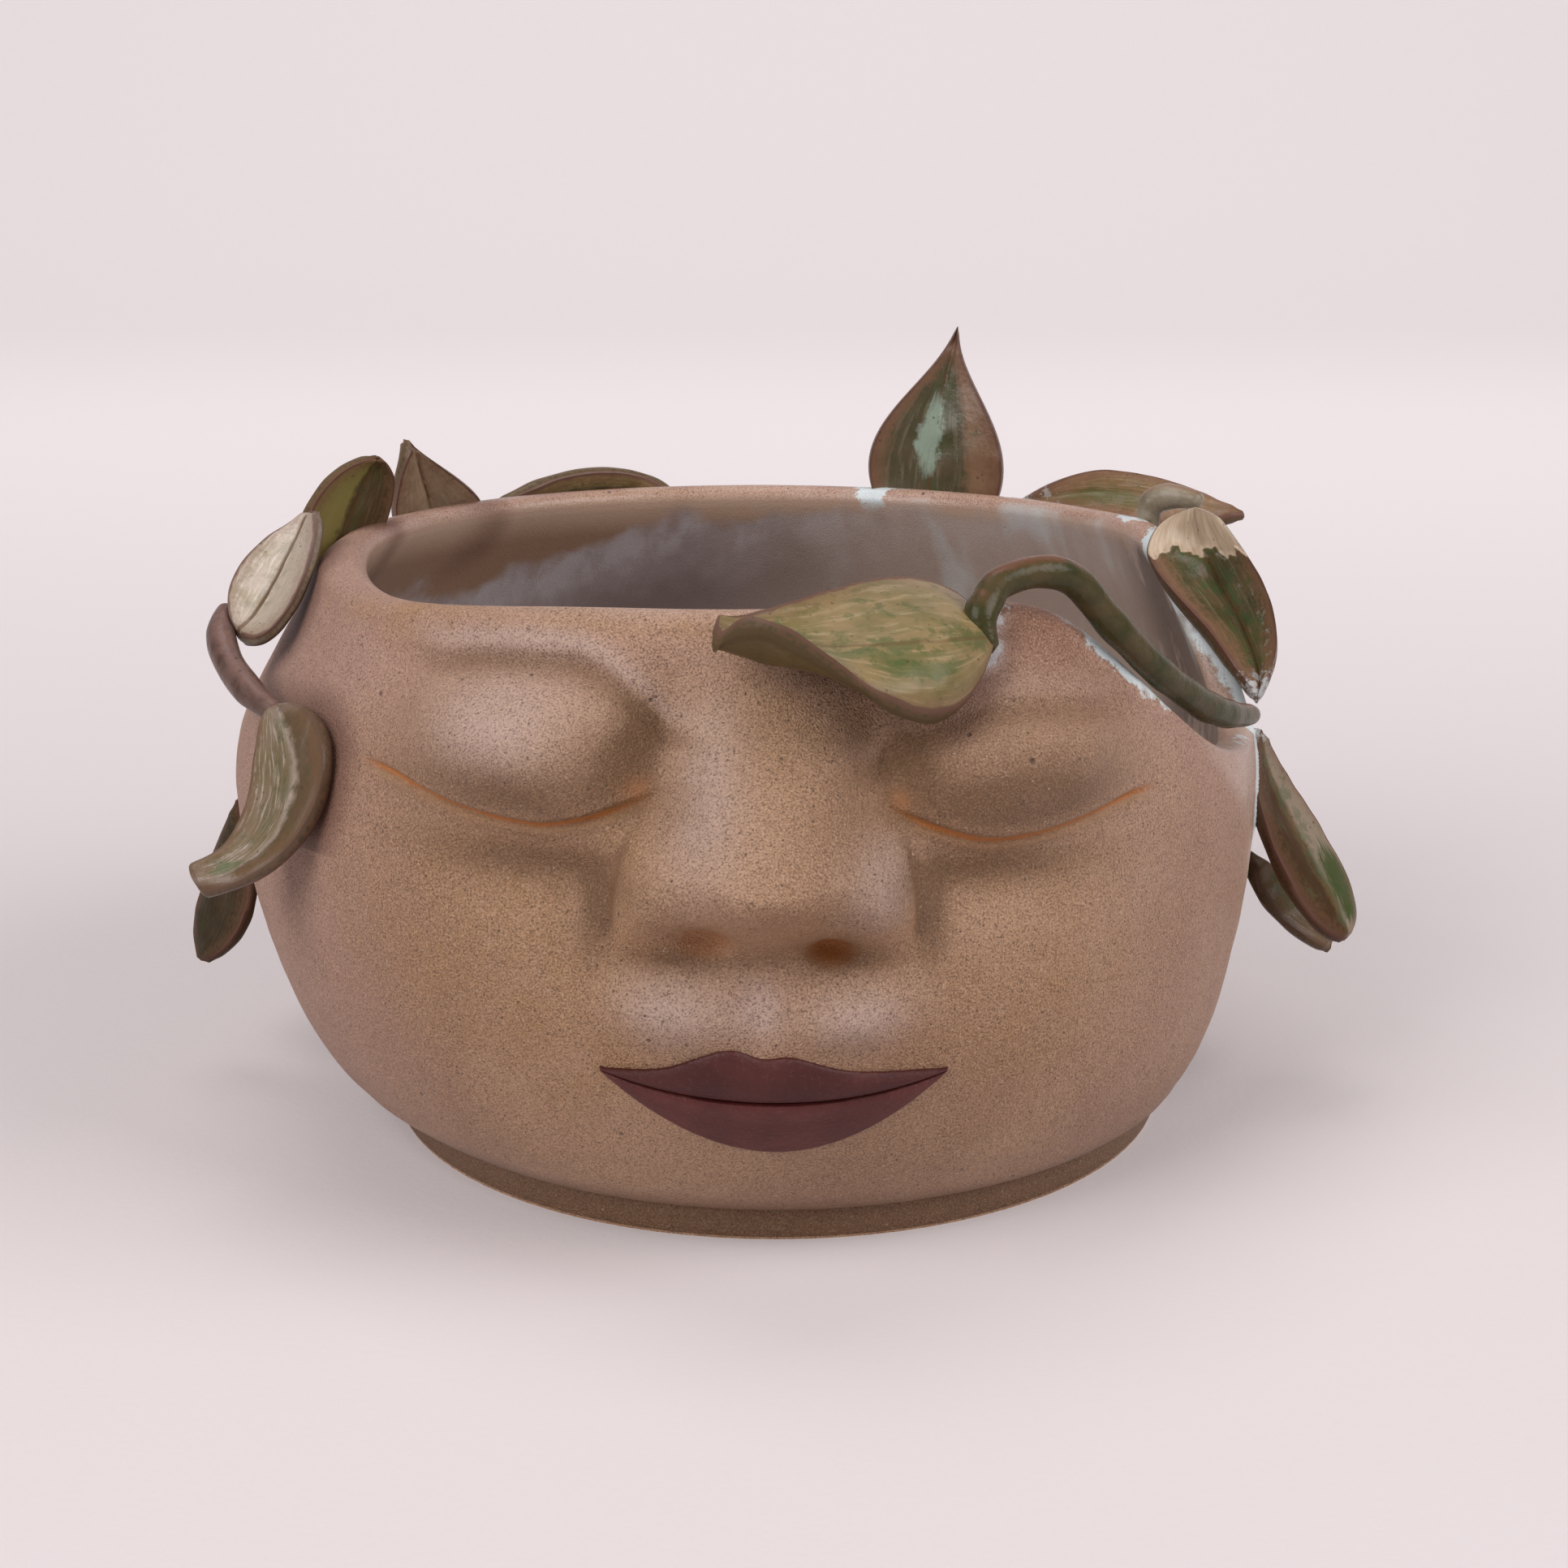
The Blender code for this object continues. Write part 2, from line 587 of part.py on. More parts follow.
def lip(name, outer_line, way, collection, material):
    """Soft strip of clay on the wall, from the mouth line up (way 1) or down (way -1) to its outer line."""
    front = []
    back = []
    for column in range(LIP_COLUMNS + 1):
        turn = 0.5 * math.pi * (2.0 * column / LIP_COLUMNS - 1.0)
        across = MOUTH_CENTRE + LIP_REACH * MOUTH_HALF_WIDTH * math.sin(turn)
        inner = float(mouth_line(across)) + 0.5 * way * CLEARANCE
        outer = way * max(way * float(outer_line(across)), way * inner + LIP_EDGE)
        full = LIP_EDGE + (LIP_THICKNESS - LIP_EDGE) * math.cos(turn) ** LIP_TAPER
        front.append([])
        back.append([])
        for row in range(LIP_CROSS_ROWS + 1):
            share = row / LIP_CROSS_ROWS
            height = inner + (outer - inner) * share
            bulge = math.sin(math.pi * share ** LIP_LEANING) ** LIP_ROUNDING
            thick = LIP_EDGE + (full - LIP_EDGE) * bulge
            back[-1].append(on_face(across, height, CLEARANCE))
            front[-1].append(on_face(across, height, CLEARANCE + thick))
    return closed_sheet(name, front, back, collection, material)


# Leaves

def through_four(points, t):
    """Point on the cubic that passes through four points at even thirds of the way."""
    s = 3.0 * t
    return (points[0] * ((1.0 - s) * (2.0 - s) * (3.0 - s) / 6.0) + points[1] * (s * (2.0 - s) * (3.0 - s) / 2.0)
            + points[2] * (s * (s - 1.0) * (3.0 - s) / 2.0) + points[3] * (s * (s - 1.0) * (s - 2.0) / 6.0))


def leaf_middle(rails, crease, t, u):
    """Point in the middle of a leaf's thickness: t runs from root to tip, u from its left edge to its right."""
    left, rib, right = [through_four(rail, t) for rail in rails]
    flat = rib.lerp(right if u > 0.0 else left, abs(u))
    bowed = rib * (1.0 - u * u) + left * (0.5 * u * (u - 1.0)) + right * (0.5 * u * (u + 1.0))
    return bowed.lerp(flat, crease)


def leaf_row(rails, crease, t, columns):
    """Points across the top and the underside of a leaf, at a share of its length."""
    shares = [column / columns for column in range(-columns, columns + 1)]
    row = [leaf_middle(rails, crease, t, u) for u in shares]
    steady = min(max(t, LEAF_STEADY), 1.0 - LEAF_STEADY)
    way = through_four(rails[1], steady + LEAF_END_TRIM) - through_four(rails[1], steady - LEAF_END_TRIM)
    flat = (leaf_middle(rails, crease, steady, 1.0) - leaf_middle(rails, crease, steady, -1.0)).normalized()
    normal = flat.cross(way).normalized()
    thick = min(LEAF_THICKNESS, max(LEAF_END_THICKNESS, (row[-1] - row[0]).length))
    top = []
    under = []
    for i, u in enumerate(shares):
        slope = (row[min(i + 1, len(row) - 1)] - row[max(i - 1, 0)]).normalized()
        steep = max(abs(slope.dot(flat)), LEAF_STEEPEST)
        half = 0.5 * thick * (1.0 - LEAF_EDGE_THINNING * abs(u) ** 3) / steep
        top.append(row[i] + normal * half)
        under.append(row[i] - normal * half)
    return top, under


def leaf(name, shape, collection, material):
    """One leaf, cut from a slab and bent: a loft along its left edge, its rib and its right edge."""
    root = rim_point(shape["azimuth"], shape["below"], shape["off"])
    tip = root + Vector(shape["tip"])
    rails = []
    for side in ("left", "rib", "right"):
        places = [root + Vector(place) for place in shape[side]]
        rails.append([root, *places, tip] if len(places) == 2 else [root, *places])
    rows = []
    for step in range(LEAF_STEPS + 1):
        t = LEAF_END_TRIM + (1.0 - 2.0 * LEAF_END_TRIM) * step / LEAF_STEPS
        rows.append(leaf_row(rails, shape["crease"], t, LEAF_WING_STEPS))
    return closed_sheet(name, [row[0] for row in rows], [row[1] for row in rows], collection, material)


# A leaf grows from a root on the wall, measured down from the rim. Its edges and rib share the root and pass
# through two places each, a third and two thirds of the way along. They end at the tip, or at a third place
# beside it where the tip is broad. The places and the tip are measured from the root.
LEAVES = {
    "front_leaf": dict(
        azimuth=-65.0, below=0.0046, off=0.0004, crease=0.0, tip=(-0.0352, -0.0125, 0.0045),
        left=((-0.0105, 0.0075, 0.0065), (-0.0238, -0.0040, 0.0060), (-0.0350, -0.0100, 0.0052)),
        rib=((-0.0111, -0.0105, 0.0016), (-0.0239, -0.0125, 0.0016)),
        right=((-0.0107, -0.0165, -0.0047), (-0.0239, -0.0190, 0.0043), (-0.0346, -0.0140, 0.0030))),
    "right_folded_leaf": dict(
        azimuth=-4.0, below=-0.0016, off=0.0015, crease=0.5, tip=(-0.0071, 0.0210, 0.0251),
        left=((-0.0055, 0.0050, 0.0065), (-0.0108, 0.0130, 0.0153), (-0.0102, 0.0205, 0.0234)),
        rib=((0.0001, 0.0095, 0.0052), (-0.0040, 0.0180, 0.0142)),
        right=((0.0034, 0.0060, 0.0075), (0.0009, 0.0120, 0.0155), (-0.0042, 0.0185, 0.0239))),
    "right_hanging_leaf": dict(
        azimuth=-7.5, below=0.0006, off=0.0006, crease=0.0, tip=(0.0140, -0.0018, -0.0326),
        left=((-0.0004, -0.0038, -0.0099), (0.0052, -0.0058, -0.0233)),
        rib=((0.0036, 0.0022, -0.0117), (0.0103, 0.0002, -0.0234)),
        right=((0.0076, 0.0052, -0.0126), (0.0150, 0.0042, -0.0248))),
    "right_lower_leaf": dict(
        azimuth=-1.0, below=0.0247, off=0.0010, crease=0.0, tip=(0.0132, 0.0012, -0.0166),
        left=((0.0028, -0.0008, -0.0080), (0.0085, -0.0008, -0.0135)),
        rib=((0.0052, 0.0022, -0.0072), (0.0106, 0.0022, -0.0128)),
        right=((0.0075, 0.0032, -0.0062), (0.0125, 0.0032, -0.0118))),
    "back_right_leaf": dict(
        azimuth=53.0, below=0.0024, off=-0.0003, crease=0.0, tip=(0.0380, -0.0066, 0.0001),
        left=((0.0115, 0.0014, 0.0053), (0.0235, 0.0014, 0.0046)),
        rib=((0.0124, 0.0004, 0.0024), (0.0239, -0.0016, 0.0015)),
        right=((0.0130, -0.0026, -0.0006), (0.0237, -0.0066, -0.0016))),
    "tall_back_leaf": dict(
        azimuth=68.0, below=0.0153, off=0.0015, crease=0.2, tip=(0.0032, -0.0006, 0.0415),
        left=((-0.0115, -0.0066, 0.0187), (-0.0053, -0.0036, 0.0303)),
        rib=((-0.0014, -0.0036, 0.0160), (0.0005, -0.0016, 0.0294)),
        right=((0.0104, -0.0086, 0.0172), (0.0067, -0.0046, 0.0299))),
    "back_low_leaf": dict(
        azimuth=136.0, below=0.0041, off=0.0010, crease=0.0, tip=(0.0327, 0.0162, 0.0012),
        left=((0.0130, 0.0088, 0.0056), (0.0244, 0.0156, 0.0052)),
        rib=((0.0124, 0.0104, 0.0030), (0.0237, 0.0168, 0.0025)),
        right=((0.0118, 0.0112, 0.0004), (0.0230, 0.0176, -0.0002))),
    "back_left_pointed_leaf": dict(
        azimuth=144.0, below=0.0089, off=0.0010, crease=0.2, tip=(0.0000, -0.0095, 0.0201),
        left=((-0.0030, -0.0070, 0.0075), (-0.0014, -0.0105, 0.0154)),
        rib=((0.0018, -0.0010, 0.0062), (0.0008, -0.0055, 0.0139)),
        right=((0.0100, 0.0030, 0.0062), (0.0058, -0.0028, 0.0136))),
    "back_left_round_leaf": dict(
        azimuth=171.0, below=0.0103, off=0.0010, crease=0.2, tip=(0.0105, 0.0063, 0.0202),
        left=((-0.0003, -0.0060, 0.0080), (0.0030, -0.0020, 0.0165)),
        rib=((0.0042, 0.0010, 0.0075), (0.0075, 0.0053, 0.0155)),
        right=((0.0090, 0.0070, 0.0068), (0.0122, 0.0083, 0.0150))),
    "left_folded_leaf": dict(
        azimuth=-166.0, below=0.0096, off=0.0078, crease=0.3, tip=(0.0087, 0.0200, 0.0139),
        left=((-0.0015, 0.0060, 0.0057), (0.0019, 0.0150, 0.0098)),
        rib=((0.0030, 0.0040, 0.0027), (0.0056, 0.0125, 0.0075)),
        right=((0.0068, -0.0025, 0.0025), (0.0100, 0.0070, 0.0095))),
    "left_lower_leaf": dict(
        azimuth=-153.4, below=0.0154, off=0.0021, crease=0.0, tip=(-0.0100, -0.0155, -0.0205),
        left=((-0.0019, -0.0050, -0.0049), (-0.0033, -0.0100, -0.0126), (-0.0102, -0.0140, -0.0188)),
        rib=((0.0023, -0.0080, -0.0046), (0.0012, -0.0130, -0.0134)),
        right=((0.0084, -0.0135, -0.0008), (0.0062, -0.0181, -0.0120), (-0.0090, -0.0165, -0.0218))),
    "left_rear_leaf": dict(
        azimuth=-178.0, below=0.0382, off=0.0008, crease=0.0, tip=(-0.0074, 0.0038, -0.0277),
        left=((-0.0057, 0.0058, -0.0119), (-0.0089, 0.0068, -0.0215)),
        rib=((-0.0019, 0.0018, -0.0106), (-0.0048, 0.0028, -0.0201)),
        right=((0.0019, -0.0022, -0.0093), (0.0005, -0.0032, -0.0186))),
}

# Each point of a vine: azimuth, distance below the rim, distance off the wall, from its start to its end
VINES = {
    "front_vine": (
        (-66.0, 0.0046, 0.0021), (-66.4, 0.0014, 0.0023), (-64.9, -0.0010, 0.0014), (-63.1, -0.0030, 0.0012),
        (-57.8, -0.0048, 0.0018), (-52.5, -0.0050, 0.0022), (-47.8, -0.0028, 0.0022), (-44.0, -0.0024, 0.0018),
        (-38.2, -0.0038, 0.0006), (-30.4, -0.0053, -0.0006), (-22.9, -0.0047, -0.0004), (-14.2, -0.0030, 0.0008)),
    "left_vine": (
        (-169.2, 0.0068, 0.0105), (-166.5, 0.0091, 0.0104), (-162.8, 0.0118, 0.0084),
        (-157.9, 0.0146, 0.0050), (-153.3, 0.0163, 0.0020)),
    "back_stem": ((23.4, 0.0031, 0.0004), (23.4, -0.0014, 0.0016), (21.8, -0.0031, 0.0040), (18.2, -0.0033, 0.0072)),
}


def smooth_route(points, steps):
    """Points along an even curve through the given ones."""
    route = []
    last = len(points) - 1
    for i in range(last):
        a = points[max(i - 1, 0)]
        b = points[i]
        c = points[i + 1]
        d = points[min(i + 2, last)]
        for step in range(steps):
            t = step / steps
            route.append(0.5 * (2.0 * b + (c - a) * t + (2.0 * a - 5.0 * b + 4.0 * c - d) * t * t
                                + (3.0 * b - a - 3.0 * c + d) * t ** 3))
    route.append(points[-1])
    return route


def vine(name, places, grow, collection):
    """Rolled coil of clay along the wall. With a growth, it is that much larger all round."""
    route = smooth_route([rim_point(*place) for place in places], VINE_STEPS_PER_SPAN)
    route[0] = route[0] + (route[0] - route[1]).normalized() * grow
    route[-1] = route[-1] + (route[-1] - route[-2]).normalized() * grow
    curve = bpy.data.curves.new(name, "CURVE")
    curve.dimensions = "3D"
    curve.bevel_depth = VINE_RADIUS + grow
    curve.bevel_resolution = 2
    curve.use_fill_caps = True
    spline = curve.splines.new("POLY")
    spline.points.add(len(route) - 1)
    for number, (point, place) in enumerate(zip(spline.points, route)):
        from_end = min(number, len(route) - 1 - number) / VINE_STEPS_PER_SPAN
        taper = VINE_END_TAPER + (1.0 - VINE_END_TAPER) * min(from_end, 1.0)
        point.co = (*place, 1.0)
        point.radius = (VINE_RADIUS * taper + grow) / (VINE_RADIUS + grow)
    coil = add_object(name + "_coil", curve, collection)
    mesh = solid_mesh(coil, name)
    bpy.data.objects.remove(coil, do_unlink=True)
    return add_object(name, mesh, collection)


def main():
    parts, cutters = fresh_collections()
    skin = clay("speckled_stoneware", (0.36, 0.235, 0.165), 0.55)
    lip_slip = clay("burgundy_slip", (0.085, 0.018, 0.020), 0.42)
    leaf_glaze = clay("olive_glaze", (0.130, 0.135, 0.045), 0.22)
    vine_glaze = clay("dark_olive_glaze", (0.070, 0.062, 0.030), 0.25)

    finish(turned_wall("pot_wall", parts, 0.0), skin)
    finish(base_slab(parts, cutters), skin)
    finish(lip("upper_lip", upper_lip_line, 1.0, parts, lip_slip), lip_slip)
    finish(lip("lower_lip", lower_lip_line, -1.0, parts, lip_slip), lip_slip)

    wall_cutter = make_cutter(turned_wall("wall_seat_cutter", cutters, CLEARANCE))
    vine_cutters = {}
    for name, places in VINES.items():
        coil = vine(name, places, 0.0, parts)
        finish(seat(coil, [wall_cutter]), vine_glaze)
        vine_cutters[name] = make_cutter(vine(name + "_seat_cutter", places, CLEARANCE, cutters))
    for name, shape in LEAVES.items():
        blade = leaf(name, shape, parts, leaf_glaze)
        finish(seat(blade, [wall_cutter, *vine_cutters.values()]), leaf_glaze)


main()
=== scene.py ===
"""Face planter, dressed: fine clay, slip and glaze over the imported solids, in their frame.

The shapes follow the same curves as the solids, at a finer step, with the small marks that a potter leaves.
Sizes are in metres, angles in degrees. The face looks along -Y.
"""
import math
from types import SimpleNamespace

import bmesh
import bpy
import numpy as np
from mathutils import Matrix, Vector
from mathutils.kdtree import KDTree


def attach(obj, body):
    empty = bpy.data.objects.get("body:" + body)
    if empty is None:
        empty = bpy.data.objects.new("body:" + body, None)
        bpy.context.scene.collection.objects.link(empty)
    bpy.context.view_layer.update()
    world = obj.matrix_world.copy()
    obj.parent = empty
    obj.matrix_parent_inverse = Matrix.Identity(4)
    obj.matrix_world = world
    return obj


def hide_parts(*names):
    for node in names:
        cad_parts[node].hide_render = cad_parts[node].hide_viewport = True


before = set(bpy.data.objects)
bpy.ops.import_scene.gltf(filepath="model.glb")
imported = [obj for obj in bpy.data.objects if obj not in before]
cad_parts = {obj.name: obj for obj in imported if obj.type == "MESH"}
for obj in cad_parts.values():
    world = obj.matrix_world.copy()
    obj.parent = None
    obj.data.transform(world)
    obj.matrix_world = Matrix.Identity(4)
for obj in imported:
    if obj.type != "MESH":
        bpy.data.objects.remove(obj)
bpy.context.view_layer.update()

# Pot body
FOOT_HEIGHT = 0.0048            # where the wall starts, a little above the base slab
FOOT_RADIUS = 0.058
BELLY_RADIUS = 0.0752
BELLY_HEIGHT = 0.052
BELLY_FULLNESS = 0.56           # power of the curve below the belly, 0.5 for a quarter ellipse
MOUTH_RADIUS = 0.0625
MOUTH_HEIGHT = 0.092            # where the shoulder would stop narrowing
WALL = 0.005
FRONT_CREST = 0.088
BACK_CREST = 0.081
DIP_CREST = 0.0585              # lowest point of the rim, on the right
DIP_AZIMUTH = -12.0
DIP_TO_FRONT = 29.0             # half width of the dip toward the face
DIP_TO_BACK = 18.0              # half width of the dip toward the back
DIP_SQUARENESS = 3.4            # power of the dip, more for a flatter bottom and steeper sides
SAG_DEPTH = 0.0026              # the rim is lower to the left of the face
SAG_AZIMUTH = -146.0
SAG_SPREAD = 24.0
ROLL_THICKNESS = 0.0022         # how much thicker the wall is at the rim's left side
ROLL_AZIMUTH = -172.0
ROLL_SPREAD = 34.0
ROLL_DEPTH = 0.018              # height over which the thick side thins out again
LEAN_BELLY = 0.0046             # the belly sags this far to the left of the foot
LEAN_MOUTH = 0.002

FRONT_CROWDING = 0.55           # share by which the segments crowd toward the face

# Face, as distances across the wall from its middle line and heights above the table
FACE_AZIMUTH = -90.0
FACE_RADIUS = 0.072             # radius at which distances across the wall are measured
FACE_CENTRE = -0.001
FACE_TILT = 1.6
FACE_PIVOT_HEIGHT = 0.055
NOSE_TIP_HEIGHT = 0.0585
NOSE_FOOT_HEIGHT = 0.0452
NOSE_ROOT_HEIGHT = 0.084
NOSE_PROUD = 0.0116
NOSE_SIDE_PROUD = 0.0042
NOSE_WIDTH = 0.0108
NOSE_ROOT_WIDTH = 0.013
NOSE_FOOT_WIDTH = 0.0168
NOSE_FLARE_LENGTH = 0.015
RIDGE_FALL = 1.3                # a higher power draws the ridge back sooner towards the brow
RIDGE_SQUARENESS = 1.9
SIDES_FALL = 0.7
SIDES_SQUARENESS = 4.4
WING_HEIGHT = 0.0548
LID_INNER = 0.014
LID_MIDDLE = 0.029
LID_OUTER = 0.0545
LEFT_LID_HEIGHT = 0.0617
RIGHT_LID_HEIGHT = 0.0608
LID_INNER_RISE = 0.005
LID_OUTER_RISE = 0.0026
LID_INNER_BEND = 1.5
LID_INNER_END = 1.3             # in lengths of the lid's inner half
LID_EDGE = 0.0018               # height over which the lid's edge steps back
LID_UNDERCUT = 0.36             # share of the ball that is left below the edge
LID_SWELL = 0.0074
EYEBALL_OFFSET = 0.031
EYEBALL_HEIGHT = 0.0718
EYEBALL_INNER = 0.015
EYEBALL_OUTER = 0.02
EYEBALL_ABOVE = 0.0074
EYEBALL_BELOW = 0.0098
EYEBALL_SQUARENESS = 2.6
LEFT_CREASE_HEIGHT = 0.08
RIGHT_CREASE_HEIGHT = 0.0766
CREASE_FALL = 0.0075
CREASE_DEPTH = 0.0013
CREASE_WIDTH = 0.002
CREASE_REACH = 1.25             # length of the crease over that of the eyeball
CREASE_OUTER_FALL = 0.15        # fall of the crease's outer half, as a share of the inner one's
CREASE_OUTER_END = 1.4          # in lengths of the lid's inner half
# Soft swellings and hollows: how far they stand out, their middle across and up, their half widths across and up
MIDDLE_FORMS = (
    (0.002, (0.0, 0.0585), (0.0078, 0.006)),            # tip of the nose
    (-0.003, (-0.0073, 0.0502), (0.0034, 0.002)),       # left nostril
    (-0.003, (0.0076, 0.0484), (0.0034, 0.002)),        # right nostril
    (0.0034, (0.0, 0.033), (0.021, 0.0115)),            # muzzle
    (-0.0014, (0.0, 0.0405), (0.0028, 0.0055)),         # groove under the nose
)
PAIRED_FORMS = (
    (0.0037, (0.0138, WING_HEIGHT), (0.0044, 0.0054)),  # wings of the nose
    (-0.0034, (0.0145, 0.0702), (0.005, 0.0085)),       # hollows beside the root of the nose
    (-0.0022, (0.025, 0.0556), (0.0125, 0.0044)),       # hollows under the lids
    (0.001, (0.03, 0.0845), (0.024, 0.003)),            # brow
    (0.0012, (0.04, 0.04), (0.02, 0.015)),              # cheeks
    (0.003, (0.0108, 0.0398), (0.008, 0.0048)),         # pads over the upper lip
)
RELIEF_FOOT_BLEND = 0.008       # height over which the face fades out at the foot
RELIEF_RIM_BLEND = 0.006

# Lips
MOUTH_HALF_WIDTH = 0.022
MOUTH_CORNER_HEIGHT = 0.0305
MOUTH_CENTRE = 0.0019           # the mouth sits a little to the right of the nose
MOUTH_SAG = 0.0032              # how far the middle of the mouth line hangs below its corners
CUPID_OFFSET = 0.0049
CUPID_HEIGHT = 0.0353
CUPID_DIP = 0.0013
CUPID_SLOPE = -0.15             # the left peak of the bow is the higher one
CUPID_REACH = 0.0085            # half width of the bow where it meets the thin sides of the lip
UPPER_LIP_SIDE_RISE = 0.0016
LOWER_LIP_DEPTH = 0.0089
LIP_THICKNESS = 0.0016
LIP_EDGE = 0.0004               # thickness and least height of a lip at its edges
LIP_REACH = 0.985               # share of the mouth's half width that the strips fill
MOUTH_SAG_FULLNESS = 2.2
LOWER_LIP_FULLNESS = 1.9
SIDE_RISE_FULLNESS = 0.8
CUPID_SQUARENESS = 2.6
LIP_TAPER = 0.7                 # a lower power keeps a lip thick nearer to its corners
LIP_ROUNDING = 0.6              # a lower power makes a lip's section squarer
LIP_LEANING = 0.8               # below 1, a lip is thickest nearer to the line of the mouth

# Leaves and vines
LEAF_THICKNESS = 0.0029
LEAF_END_THICKNESS = 0.0016
LEAF_END_TRIM = 0.03            # share of a leaf's length that is left off at each end, so the ends are blunt
LEAF_STEADY = 0.18              # share of its length at each end over which a leaf doesn't twist
LEAF_STEEPEST = 0.7             # cosine of the steepest fold that the slab keeps its thickness on
LEAF_EDGE_THINNING = 0.45       # share of the thickness that a leaf loses toward its edge
VINE_RADIUS = 0.0021
VINE_END_TAPER = 0.65


def smooth_step(t):
    """Ramp from 0 to 1 with flat ends."""
    t = np.clip(t, 0.0, 1.0)
    return t * t * (3.0 - 2.0 * t)


def ramp(value, start, length):
    """Smooth ramp from 0 at the start to 1 a length further on."""
    return smooth_step((value - start) / length)


def hump(away, width, power=2):
    """1 in the middle, falling off on both sides. A higher power makes the top flatter and the sides steeper."""
    return np.exp(-np.abs(away / width) ** power)


def turned(azimuth, start):
    """Angle from one azimuth to another, the short way round."""
    return (azimuth - start + 180.0) % 360.0 - 180.0


def swell(across, height, middle, size):
    """Soft round swelling, 1 at its middle."""
    return np.exp(-((across - middle[0]) / size[0]) ** 2 - ((height - middle[1]) / size[1]) ** 2)


def swells(across, height, middle_forms, paired_forms=()):
    """Sum of swellings. The paired ones stand on both sides of the face."""
    total = 0.0 * across
    for proud, place, size in middle_forms:
        total = total + proud * swell(across, height, place, size)
    for proud, place, size in paired_forms:
        for side in (-1.0, 1.0):
            total = total + proud * swell(across, height, (side * place[0], place[1]), size)
    return total


def profile_radius(z):
    """Radius of the turned pot at a height: a quarter ellipse to the belly, then an easy shoulder."""
    low = np.clip((BELLY_HEIGHT - z) / (BELLY_HEIGHT - FOOT_HEIGHT), 0.0, 1.0)
    high = np.clip((z - BELLY_HEIGHT) / (MOUTH_HEIGHT - BELLY_HEIGHT), 0.0, 1.0)
    below = FOOT_RADIUS + (BELLY_RADIUS - FOOT_RADIUS) * (1.0 - low ** 2) ** BELLY_FULLNESS
    above = MOUTH_RADIUS + (BELLY_RADIUS - MOUTH_RADIUS) * (0.5 + 0.5 * np.cos(math.pi * high))
    return np.where(z < BELLY_HEIGHT, below, above)


def lean(z):
    """How far the pot's round sags to the left at a height."""
    rise = np.sin(0.5 * math.pi * np.clip(z / BELLY_HEIGHT, 0.0, 1.0))
    back = ramp(z, BELLY_HEIGHT, MOUTH_HEIGHT - BELLY_HEIGHT)
    return LEAN_BELLY * rise + (LEAN_MOUTH - LEAN_BELLY) * back


def crest_height(azimuth):
    """Height of the rim: higher over the face, lower at the back, cut down on the right."""
    angle = np.radians(azimuth)
    level = 0.5 * (FRONT_CREST + BACK_CREST) - 0.5 * (FRONT_CREST - BACK_CREST) * np.sin(angle)
    turn = turned(azimuth, DIP_AZIMUTH)
    spread = np.where(turn < 0.0, DIP_TO_FRONT, DIP_TO_BACK)
    depth = 0.5 * (FRONT_CREST + BACK_CREST) - DIP_CREST
    sag = SAG_DEPTH * hump(turned(azimuth, SAG_AZIMUTH), SAG_SPREAD)
    return level - sag - depth * np.exp(-math.log(2.0) * np.abs(turn / spread) ** DIP_SQUARENESS)


def face_place(azimuth, z):
    """Distance across and height in the frame of the face, which is tilted a little."""
    across = np.radians(turned(azimuth, FACE_AZIMUTH)) * FACE_RADIUS - FACE_CENTRE
    above = z - FACE_PIVOT_HEIGHT
    tilt = math.radians(FACE_TILT)
    return (across * math.cos(tilt) - above * math.sin(tilt),
            FACE_PIVOT_HEIGHT + across * math.sin(tilt) + above * math.cos(tilt))


def nose_spread(height):
    """Half width of the nose's side walls, which widen toward the wings."""
    flare = smooth_step(1.0 - (height - WING_HEIGHT) / NOSE_FLARE_LENGTH)
    return NOSE_ROOT_WIDTH + (NOSE_FOOT_WIDTH - NOSE_ROOT_WIDTH) * flare


def nose(across, height):
    """Soft ridge from the brow down, over side walls that widen toward the wings."""
    up = np.clip((height - NOSE_TIP_HEIGHT) / (NOSE_ROOT_HEIGHT - NOSE_TIP_HEIGHT), 0.0, 1.0)
    under = ramp(height, NOSE_FOOT_HEIGHT, NOSE_TIP_HEIGHT - NOSE_FOOT_HEIGHT)
    fall = np.where(height < NOSE_TIP_HEIGHT, under, (1.0 - up) ** RIDGE_FALL)
    ridge = (NOSE_PROUD - NOSE_SIDE_PROUD) * fall * hump(across, NOSE_WIDTH, RIDGE_SQUARENESS)
    sides = NOSE_SIDE_PROUD * fall ** SIDES_FALL * hump(across, nose_spread(height), SIDES_SQUARENESS)
    return ridge + sides


def lid_line(across):
    """Height of the closed lid's edge at a distance from the middle of the face."""
    reach = np.abs(across) - LID_MIDDLE
    share = np.clip(-reach / (LID_MIDDLE - LID_INNER), 0.0, LID_INNER_END)
    inner = LID_INNER_RISE * share ** LID_INNER_BEND
    outer = LID_OUTER_RISE * smooth_step(reach / (LID_OUTER - LID_MIDDLE))
    return np.where(across < 0.0, LEFT_LID_HEIGHT, RIGHT_LID_HEIGHT) + inner + outer


def crease_line(across):
    """Height of the soft crease over a lid."""
    share = np.clip((np.abs(across) - LID_MIDDLE) / (LID_MIDDLE - LID_INNER), -1.0, CREASE_OUTER_END)
    top = np.where(across < 0.0, LEFT_CREASE_HEIGHT, RIGHT_CREASE_HEIGHT)
    return top - CREASE_FALL * share ** 2 * np.where(share < 0.0, 1.0, CREASE_OUTER_FALL)


